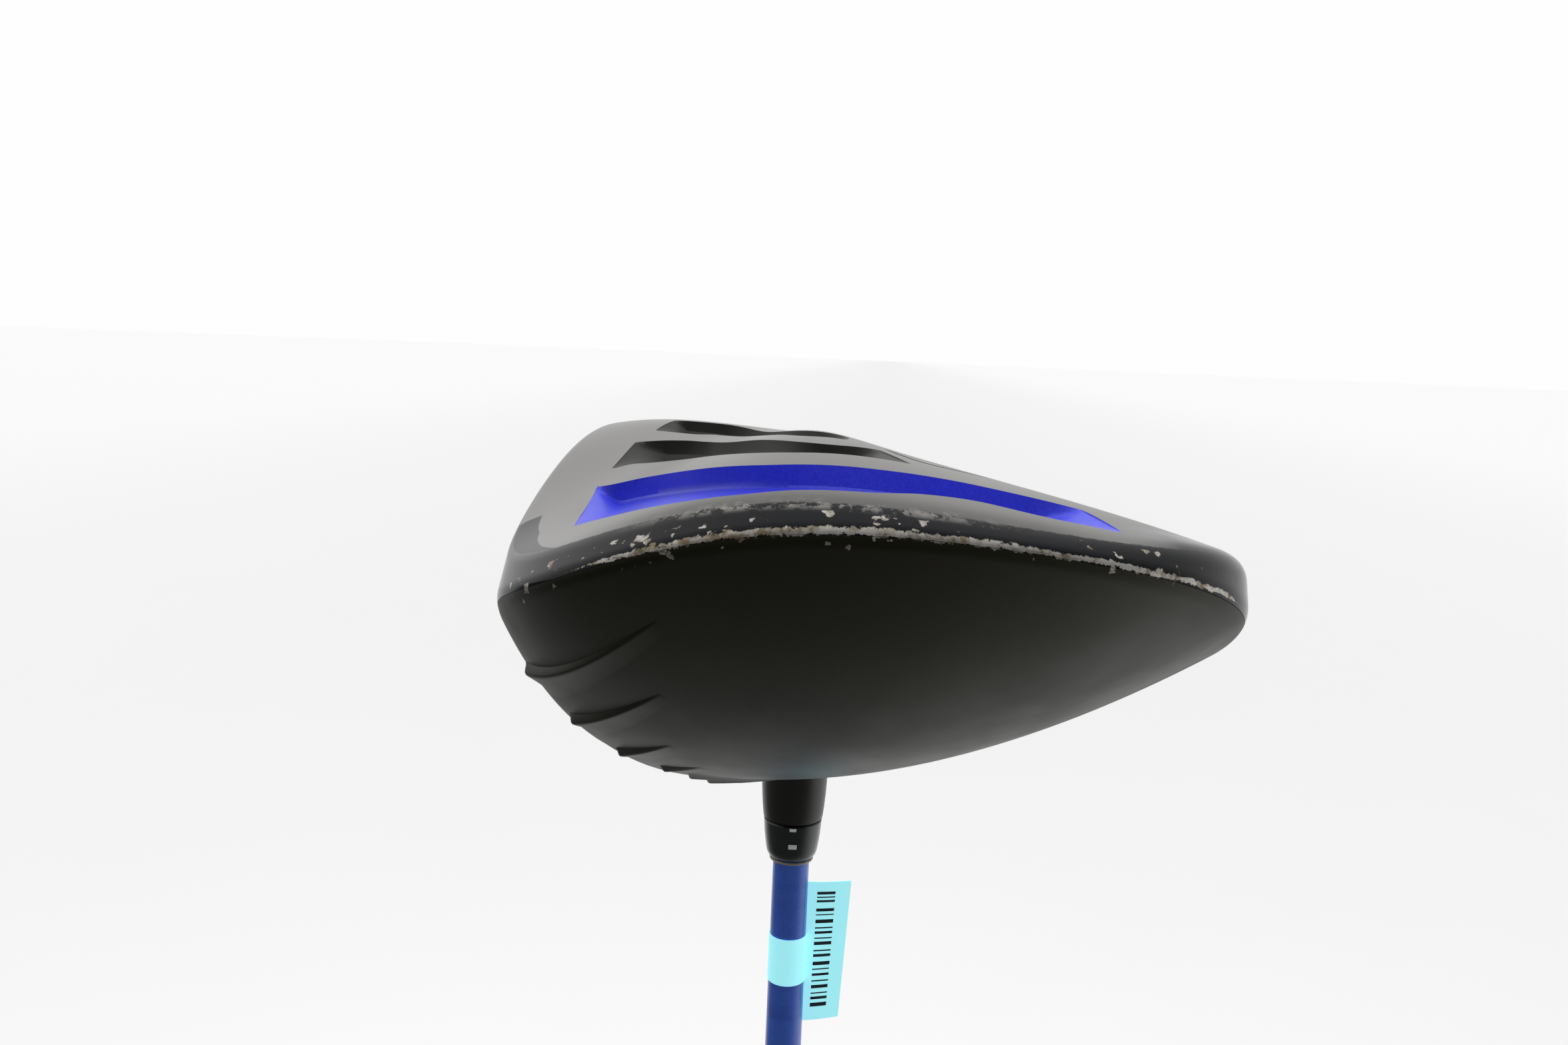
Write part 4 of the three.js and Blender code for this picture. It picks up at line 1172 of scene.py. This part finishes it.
def within_face(y, z):
    """Whether a place is on the face and clear of its rim."""
    cos_t, sin_t = math.cos(FACE_TILT), math.sin(FACE_TILT)
    along = (y - FACE_CENTRE[0]) * cos_t + (z - FACE_CENTRE[1]) * sin_t
    across = (z - FACE_CENTRE[1]) * cos_t - (y - FACE_CENTRE[0]) * sin_t
    return math.hypot(along / (FACE_RADII[0] - 4), across / (FACE_RADII[1] - 2.5)) < 1


def face_faces():
    """Faces of a disc with a front and a back layer, each a middle vertex and then rings."""
    layer = 1 + FACE_RINGS * FACE_SPOKES
    faces = []
    for base in (0, layer):
        for k in range(FACE_SPOKES):
            after = (k + 1) % FACE_SPOKES
            faces.append((base, base + 1 + k, base + 1 + after))
        for first in range(base + 1, base + 1 + (FACE_RINGS - 1) * FACE_SPOKES, FACE_SPOKES):
            for k in range(FACE_SPOKES):
                a, b = first + k, first + (k + 1) % FACE_SPOKES
                faces.append((a, a + FACE_SPOKES, b + FACE_SPOKES, b))
    rim = 1 + (FACE_RINGS - 1) * FACE_SPOKES
    for k in range(FACE_SPOKES):
        a, b = rim + k, rim + (k + 1) % FACE_SPOKES
        faces.append((a, a + layer, b + layer, b))
    return faces


def face_plate(body_tree):
    """The striking face: a thin plate that lies on the head's front, with score lines let into it."""

    def front(y, z, lift):
        hit = body_tree.ray_cast(Vector((-80, y, z)), Vector((1, 0, 0)))
        return (hit[0].x - lift, y, z)

    vertices = []
    for lift, rim_lift in ((0.12, 0.0), (-2.0, -2.0)):
        vertices.append(front(*face_place(0, 0), lift))
        for ring in range(1, FACE_RINGS + 1):
            ring_lift = lift if ring < FACE_RINGS else rim_lift
            places = [face_place(ring / FACE_RINGS, angle) for angle in round_angles(FACE_SPOKES)]
            vertices.extend(front(y, z, ring_lift) for y, z in places)
    plate = mesh_object("face_insert", vertices, face_faces(), [PAINT["face"]])
    recalculate(plate)
    cutters = []
    for line in range(SCORE_LINES):
        height = SCORE_LOWEST + SCORE_SPACING * line
        for low, high in SCORE_SPANS:
            places = [(y, height + (y - FACE_CENTRE[0]) * SCORE_SLOPE) for y in np.linspace(low, high, 40)]
            places = [place for place in places if within_face(*place)]
            if len(places) > 2:
                cutters.append(score_cutter([front(y, z, 0) for y, z in places]))
    cut_with(plate, cutters)
    finish_piece(plate, HEAD_TO_CLUB, "head", "face_plate", 25)


def head_tree(obj):
    """The head's skin as a tree for finding where lines meet it, in the head's frame."""
    back = HEAD_TO_CLUB.inverted()
    vertices = [back @ v.co for v in obj.data.vertices]
    return BVHTree.FromPolygons(vertices, [tuple(p.vertices) for p in obj.data.polygons])


# ---------------------------------------------------------------- turned pieces


def stations(points):
    """A profile given by stations up from the ground, as heights above the grip's butt."""
    return [(radius, CLUB_LENGTH - station) for radius, station in points]


def stationed(name, profile, paint, body, node):
    """A turned piece on the shaft's axis, from (radius, station) points."""
    obj = turned(name, stations(profile), PAINT[paint])
    finish_piece(obj, CLUB, body, node, 35)


def neck():
    profile = [
        (5.5, 11), (7.6, 11), (7.6, 30), (7.6, 45), (7.58, 50), (7.5, 54), (7.35, 57), (7.12, 60),
        (6.88, 62.2), (6.8, 62.55), (6.62, 62.7), (5.5, 62.7), (5.5, 24), (2.9, 24), (2.9, 21), (5.5, 21),
    ]
    stationed("hosel_neck", profile, "neck", "head", "hosel_tube")


def ferrule():
    profile = [
        (5.4, 63.2), (6.55, 63.2), (6.68, 63.35), (6.66, 63.8), (6.5, 66), (6.27, 68), (6.0, 69.9),
        (5.86, 70.6), (5.62, 71.3), (5.25, 71.85), (4.85, 72.1), (4.5, 72.15), (4.5, 69.4), (5.4, 69.4),
    ]
    stationed("ferrule_cone", profile, "ferrule", "shaft_assembly", "ferrule")


def sleeve():
    profile = [
        (2.55, 24.3), (4.7, 24.3), (5.2, 24.8), (5.2, 62.9), (6.62, 62.9), (6.7, 63.0), (6.55, 63.15),
        (5.2, 63.15), (5.2, 69), (4.5, 69), (4.5, 44.8), (2.55, 43.8),
    ]
    stationed("sleeve_body", profile, "anodised", "shaft_assembly", "adapter_sleeve")


def bead():
    """The ring of dried epoxy round the shaft, just below the ferrule."""
    middle = CLUB_LENGTH - 72.65
    angles = np.linspace(0, 2 * math.pi, 14)[:-1]
    ring = [(4.78 + 0.33 * math.cos(a), middle + 0.3 * math.sin(a)) for a in angles]
    ring = [(max(radius, 4.3), height) for radius, height in ring]
    obj = turned("bead_ring", ring, PAINT["bead"])
    finish_piece(obj, CLUB, "shaft_assembly", "ferrule_bead", 60)


# Index marks on the ferrule: station, radius there, width round it and height, and the turn from facing the
# camera.
INDEX_MARKS = [(63.75, 6.70, 1.5, 0.75, 0.02), (67.9, 6.31, 1.9, 1.1, 0.03)]
FERRULE_SLOPE = 0.11
# Across a mark: (share of half its height, how far it stands off the ferrule).
MARK_SECTION = ((-1, -0.1), (-1, 0.05), (-0.8, 0.07), (0, 0.07), (0.8, 0.07), (1, 0.05), (1, -0.1))


def index_marks():
    """Two white painted marks, one above the other, on the side that faces the toe."""
    facing = math.atan2(CAMERA_CLUB.y, CAMERA_CLUB.x)
    for number, (station, radius, wide, tall, turn) in enumerate(INDEX_MARKS):
        angles = np.linspace(-wide / 2 / radius, wide / 2 / radius, 9) + facing + turn
        rows = []
        for share, lift in MARK_SECTION:
            height = CLUB_LENGTH - station + share * tall / 2
            reach = radius + lift + FERRULE_SLOPE * share * tall / 2
            rows.append([(reach * math.cos(a), reach * math.sin(a), height) for a in angles])
        mark = closed_loft(f"index_mark_{number}", np.swapaxes(np.array(rows), 0, 1), [PAINT["mark"]])
        recalculate(mark)
        finish_piece(mark, CLUB, "shaft_assembly", None, 40)


SHAFT_TIP, SHAFT_BUTT = 4.2, 7.6  # radii
TAPER_LOW, TAPER_HIGH = 150, CLUB_LENGTH - 72  # heights between which the shaft tapers
SHAFT_WALL = 1.1


def shaft_radius(height):
    share = np.clip((TAPER_HIGH - height) / (TAPER_HIGH - TAPER_LOW), 0, 1)
    return SHAFT_TIP + (SHAFT_BUTT - SHAFT_TIP) * share**1.25


def shaft():
    low, high = (value.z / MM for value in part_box("shaft"))
    heights = np.concatenate([np.linspace(low, TAPER_LOW, 6), np.linspace(200, high, 40)])
    outside = [(float(shaft_radius(h)), float(h)) for h in heights]
    inside = [(radius - SHAFT_WALL, h) for radius, h in reversed(outside)]
    obj = turned("shaft_tube", outside + inside, PAINT["shaft"])
    finish_piece(obj, CLUB, "shaft_assembly", "shaft", 40)


LABEL_BAND_HALF = 5.65
LABEL_THICKNESS = 0.14
FLAG_FACING = math.radians(31)
FLAG_TOP, FLAG_BOTTOM = CLUB_LENGTH - 79.2, CLUB_LENGTH - 112.6
FLAG_REACH = (14.3, 12.6)  # how far the flag stands out from the shaft's axis, at its top and bottom
BAR_SPAN = (0.42, 0.74)
# Printed bars: start and width of each, as shares of the flag's height.
BARS = [
    (0.07, 0.020), (0.105, 0.009), (0.13, 0.016), (0.19, 0.022), (0.232, 0.008), (0.27, 0.026),
    (0.325, 0.010), (0.355, 0.018), (0.40, 0.009), (0.43, 0.024), (0.49, 0.010), (0.52, 0.020),
    (0.575, 0.026), (0.625, 0.009), (0.66, 0.018), (0.71, 0.010), (0.745, 0.024), (0.80, 0.009),
    (0.83, 0.020), (0.875, 0.028),
]


def flag_point(root, out, along, lift):
    """A point of the flag: out from its root at the shaft, and along from its top edge to its lower edge."""
    reach = FLAG_REACH[0] + (FLAG_REACH[1] - FLAG_REACH[0]) * along
    radius = root + (reach - root) * out
    side = 0.5 * math.sin(math.pi * out) + 0.9 * out * (along - 0.5) + lift
    height = FLAG_TOP + (FLAG_BOTTOM - FLAG_TOP) * along + 0.9 * out - 1.4 * (1 - out) * (along - 0.3)
    cos_f, sin_f = math.cos(FLAG_FACING), math.sin(FLAG_FACING)
    return radius * cos_f + side * sin_f, radius * sin_f - side * cos_f, height


def flag_sheet(name, root, outs, alongs, lifts, material):
    """A thin closed sheet that lies in or on the flag, between two lifts off its middle."""
    front, back = ([[flag_point(root, o, a, lift) for a in alongs] for o in outs] for lift in lifts)
    rings = [ahead + behind[::-1] for ahead, behind in zip(front, back)]
    obj = closed_loft(name, rings, [material])
    recalculate(obj)
    finish_piece(obj, CLUB, "shaft_assembly", None, 40)


def label():
    """The stock label: a band round the shaft and a flag that stands off it, printed with plain bars."""
    low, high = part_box("stock_label")
    middle = (low.z + high.z) / 2 / MM
    inner = float(shaft_radius(middle)) + 0.06
    outer = inner + LABEL_THICKNESS
    bottom, top = middle - LABEL_BAND_HALF, middle + LABEL_BAND_HALF
    obj = turned("label_band", [(inner, bottom), (outer, bottom), (outer, top), (inner, top)], PAINT["paper"])
    finish_piece(obj, CLUB, "shaft_assembly", "stock_label", 40)

    root = inner * 0.2
    outs, alongs = np.linspace(0, 1, 22), np.linspace(0, 1, 40)
    flag_sheet("label_flag", root, outs, alongs, (0.09, -0.09), PAINT["paper"])
    for number, (start, width) in enumerate(BARS):
        ends = (start, start + width)
        flag_sheet(f"label_bar_{number}", root, np.linspace(*BAR_SPAN, 8), ends, (0.115, 0.05), PAINT["ink"])


# ---------------------------------------------------------------- grip


GRIP_SIDES = 160
GRIP_ROWS = 520
GROOVE_PITCH = 6.0
GROOVE_STARTS = 10
GROOVE_DEPTH = 0.45
# Each band's start and end, and the ring in its middle.
PLAIN_BANDS = ((28, 34, 31), (96, 101, 98.5), (170, 175, 172.5))
GRIP_BORE = 8.7


def grip_depths(along, turn, low, high):
    """How deep the pattern is: crossing grooves, left out near both ends and in plain bands with one
    ring each."""
    grooves = []
    for sense in (1, -1):
        phase = (along / GROOVE_PITCH + sense * GROOVE_STARTS * turn / (2 * math.pi)) % 1
        grooves.append(np.clip(1 - np.abs(phase - 0.5) * 7, 0, 1))
    edge = np.clip((along - low - 12) / 4, 0, 1) * np.clip((high - 14 - along) / 4, 0, 1)
    depth = np.maximum(*grooves) * GROOVE_DEPTH * edge
    for start, end, middle in PLAIN_BANDS:
        in_band = (along > start) & (along < end)
        depth = np.where(in_band, (np.abs(along - middle) < 0.7) * 0.5, depth)
    return depth


def grip():
    """The rubber sleeve: a smooth taper with bands of crossing grooves."""
    low, high = (value.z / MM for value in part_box("grip"))
    profile = [
        (low, 13.4), (low + 4.7, 13.1), (18, 12.6), (60, 12.1), (120, 11.3), (180, 10.5), (240, 9.7),
        (high - 4, 9.3), (high - 1.2, 9.1), (high - 0.3, 8.75), (high, 8.3),
    ]
    heights = np.linspace(low, high, GRIP_ROWS)
    radii = np.interp(heights, [h for h, _ in profile], [r for _, r in profile])
    angles = round_angles(GRIP_SIDES)
    turn, along = np.meshgrid(angles, heights)
    radius = radii[:, None] - grip_depths(along, turn, low, high)
    outer = np.stack([radius * np.cos(turn), radius * np.sin(turn), along], -1)
    mouth = float(shaft_radius(high)) + 0.1
    bore = [(mouth, high), (mouth, high - 3), (GRIP_BORE, high - 4.5), (GRIP_BORE, low)]
    inner = [np.stack([r * np.cos(angles), r * np.sin(angles), np.full(GRIP_SIDES, h)], -1) for r, h in bore]
    rings = np.concatenate([outer, np.array(inner)])
    faces = grid_faces(len(rings), GRIP_SIDES, closed_columns=True)
    last = (len(rings) - 1) * GRIP_SIDES
    for k in range(GRIP_SIDES):
        after = (k + 1) % GRIP_SIDES
        faces.append((last + k, last + after, after, k))
    obj = mesh_object("grip_sleeve", rings.reshape(-1, 3), faces, [PAINT["rubber"]])
    recalculate(obj)
    finish_piece(obj, CLUB, "shaft_assembly", "grip", 60)


def grip_cap():
    profile = [
        (0.9, 0), (2.4, 0), (2.6, 0.25), (2.9, 0.25), (3.1, 0), (11.8, 0), (12.5, 0.2), (13.1, 0.8),
        (13.4, 1.7), (13.4, 3.6), (13.2, 4.0), (0.9, 4.0),
    ]
    obj = turned("grip_butt_cap", profile, PAINT["rubber"])
    finish_piece(obj, CLUB, "shaft_assembly", "grip_cap", 40)


# ---------------------------------------------------------------- screws and weight


def weight():
    """The back weight, with six dimples in its face."""
    profile = [
        (3.9, 0.8), (5.0, 0.8), (5.1, 0.95), (5.4, 0.95), (5.5, 0.8), (7.3, 0.8), (7.75, 0.95), (8.0, 1.4),
        (8.0, 8.8), (2.2, 8.8), (2.2, 4.4), (3.9, 4.4),
    ]
    obj = turned("weight_body", profile, PAINT["weight"])
    dimples = []
    for k in range(6):
        turn = Matrix.Rotation(k * math.pi / 3, 4, "Z") @ Matrix.Translation((6.4, 0, 0))
        dimples.append(rod_cutter(0.55, 0.3, 1.2, turn, [PAINT["weight"]], sides=24))
    cut_with(obj, dimples)
    finish_piece(obj, HEAD_TO_CLUB @ weight_frame(), "back_weight", "back_weight", 35)


def screw(name, profile, socket, transform, node):
    """A turned screw with a hexagonal socket, given as (radius, low, high)."""
    obj = turned(name, profile, PAINT["steel"])
    cut_with(obj, [rod_cutter(*socket, Matrix.Identity(4), [PAINT["steel"]], sides=6)])
    finish_piece(obj, HEAD_TO_CLUB @ transform, node, node, 35)


def weight_screw():
    profile = [
        (0, 1.1), (3.1, 1.1), (3.45, 1.25), (3.6, 1.6), (3.6, 4.1), (1.9, 4.1), (1.9, 14.9), (1.5, 15.3),
        (0, 15.3),
    ]
    screw("weight_screw_body", profile, (2.0, 0, 3.1), weight_frame(), "back_weight_screw")


def hosel_screw():
    profile = [
        (0, 15.2), (3.9, 15.2), (4.25, 15.35), (4.4, 15.8), (4.4, 19.3), (2.2, 19.3), (2.2, 39), (1.6, 40),
        (0, 40),
    ]
    screw("hosel_screw_body", profile, (2.3, 14, 17.8), hosel_frame(), "hosel_screw")


def hidden_pieces():
    """CAD pieces that keep their shape and get a finished material."""
    finishes = {
        "hot_melt_pad": "glue",
        "screw_retainer": "anodised",
        "weight_insert": "steel",
        "screw_washer": "steel",
        "shaft_tip_plug": "cork",
        "grip_tape": "tape",
    }
    for node, paint in finishes.items():
        obj = frame["nodes"][node]
        obj.data.materials.clear()
        obj.data.materials.append(PAINT[paint])


# ---------------------------------------------------------------- camera, light and floor


def camera_axes():
    """Right, down and forward of the camera in the head's frame. Before the roll, the grip is straight
    down."""
    level = math.cos(CAMERA_RISE)
    back = Vector((math.sin(CAMERA_TURN) * level, math.cos(CAMERA_TURN) * level, math.sin(CAMERA_RISE)))
    forward = -back
    grip_ward = Vector((0, -math.cos(LIE), math.sin(LIE)))
    down = (grip_ward - back * grip_ward.dot(back)).normalized()
    right = down.cross(forward)
    turned_right = right * math.cos(CAMERA_ROLL) + down * math.sin(CAMERA_ROLL)
    turned_down = down * math.cos(CAMERA_ROLL) - right * math.sin(CAMERA_ROLL)
    return turned_right, turned_down, forward


HEAD_TURN = Matrix.Rotation(math.pi / 2 + LIE, 3, "X")
CAMERA_CLUB = HEAD_TO_CLUB @ Vector(CAMERA_PLACE)
CAMERA_RIGHT, CAMERA_DOWN, CAMERA_FORWARD = (HEAD_TURN @ axis for axis in camera_axes())


def camera():
    data = bpy.data.cameras.new("camera")
    data.lens = CAMERA_LENS
    data.sensor_width = CAMERA_SENSOR
    data.clip_start = 0.01
    obj = bpy.data.objects.new("camera", data)
    bpy.context.scene.collection.objects.link(obj)
    turn = Matrix((CAMERA_RIGHT, -CAMERA_DOWN, -CAMERA_FORWARD)).transposed()
    obj.matrix_world = Matrix.Translation(CAMERA_CLUB) @ turn.to_4x4()
    bpy.context.scene.camera = obj


def world():
    """White to the camera. What the head reflects is white behind it and dark on the camera's side."""
    studio = bpy.data.worlds.new("studio")
    bpy.context.scene.world = studio
    studio.use_nodes = True
    tree = studio.node_tree
    tree.nodes.clear()

    def node(kind, *fed):
        made = tree.nodes.new(kind)
        for socket, source in enumerate(fed):
            if source is not None:
                tree.links.new(source, made.inputs[socket])
        return made

    dot = node("ShaderNodeVectorMath", node("ShaderNodeTexCoord").outputs["Generated"])
    dot.operation = "DOT_PRODUCT"
    dot.inputs[1].default_value = (-CAMERA_FORWARD + Vector((0, 0, -0.25))).normalized()
    fade = node("ShaderNodeMapRange", dot.outputs["Value"])
    fade.interpolation_type = "SMOOTHSTEP"
    for socket, value in zip(fade.inputs[1:5], (-0.35, 0.55, 1.0, 0.05)):
        socket.default_value = value
    reflected = node("ShaderNodeBackground", None, fade.outputs[0])
    seen = node("ShaderNodeBackground")
    seen.inputs["Strength"].default_value = 0.99
    for background in (reflected, seen):
        background.inputs["Color"].default_value = (1, 1, 1, 1)
    to_camera = node("ShaderNodeLightPath").outputs["Is Camera Ray"]
    chosen = node("ShaderNodeMixShader", to_camera, reflected.outputs[0], seen.outputs[0])
    node("ShaderNodeOutputWorld", chosen.outputs[0])


def area_light(name, offset, size, power, colour=(1, 1, 1), mirrored=False):
    """A soft light that looks at the head from an offset, in metres. mirrored lets reflections show it."""
    low, high = cad_bounds
    head = Vector(((low[0] + high[0]) / 2, low[1] + 0.06, high[2] - 0.06))
    data = bpy.data.lights.new(name, "AREA")
    data.shape = "RECTANGLE"
    data.size, data.size_y = size
    data.energy = power
    data.color = colour
    obj = bpy.data.objects.new(name, data)
    bpy.context.scene.collection.objects.link(obj)
    aim = (-offset).to_track_quat("-Z", "Y").to_matrix().to_4x4()
    obj.matrix_world = Matrix.Translation(head + offset) @ aim
    obj.visible_glossy = mirrored


def lights():
    area_light("ceiling", Vector((0, 0.1, 1.1)), (1.6, 1.2), 10)
    area_light("fill", Vector((0, 0, 0.1)) - CAMERA_FORWARD * 0.9, (1.0, 1.0), 2.2)
    above = Vector((0, 0, 0.75)) - CAMERA_FORWARD * 0.75 + CAMERA_RIGHT * 0.2
    area_light("strip", above, (0.9, 0.05), 0.22, (0.7, 0.8, 1), mirrored=True)


def floor():
    """A pale floor that reaches the horizon. What it lends to reflections is kept down on the camera's
    side."""
    recipe = Recipe("floor_pale")
    to_camera = recipe.add("ShaderNodeLightPath").outputs["Is Camera Ray"]
    pale = recipe.mix(recipe.noise(3, 3), (0.90, 0.90, 0.90), (0.92, 0.92, 0.92))
    x, y = recipe.place()
    behind = recipe.span(y, -0.7, 1.3)
    lent = recipe.mix(behind, (0.12, 0.12, 0.12), (0.92, 0.92, 0.92))
    from_middle = recipe.math("ABSOLUTE", recipe.plus(x, recipe.times(y, 0.5)))
    glow = recipe.span(from_middle, 0.0, 12.0, FLOOR_GLOW - 0.07, FLOOR_GLOW)
    recipe.set(
        Base_Color=recipe.mix(to_camera, lent, pale),
        Roughness=0.9,
        Specular_IOR_Level=0.1,
        Emission_Color=(1, 1, 1),
        Emission_Strength=recipe.blend(to_camera, recipe.times(behind, 0.3), glow),
    )
    near, far = -FLOOR_HALF, FLOOR_HALF
    corners = [(near, near, 0), (far, near, 0), (far, far, 0), (near, far, 0)]
    obj = mesh_object("floor", corners, [(0, 1, 2, 3)], [recipe.material])
    obj.location.z = -FLOOR_GAP


# ---------------------------------------------------------------- assembly

body = head_body()
head_crown()
for side in (1, -1):
    for number, (start, length, height) in enumerate(RIDGES):
        crown_ridge(f"{'toe' if side > 0 else 'heel'}_{number}", start, length, height, side)
face_plate(head_tree(body))
neck()
ferrule()
bead()
index_marks()
shaft()
sleeve()
label()
grip()
grip_cap()
weight()
weight_screw()
hosel_screw()
hidden_pieces()

camera()
world()
lights()
floor()

scene = bpy.context.scene
scene.view_settings.view_transform = "Standard"
scene.view_settings.look = "None"
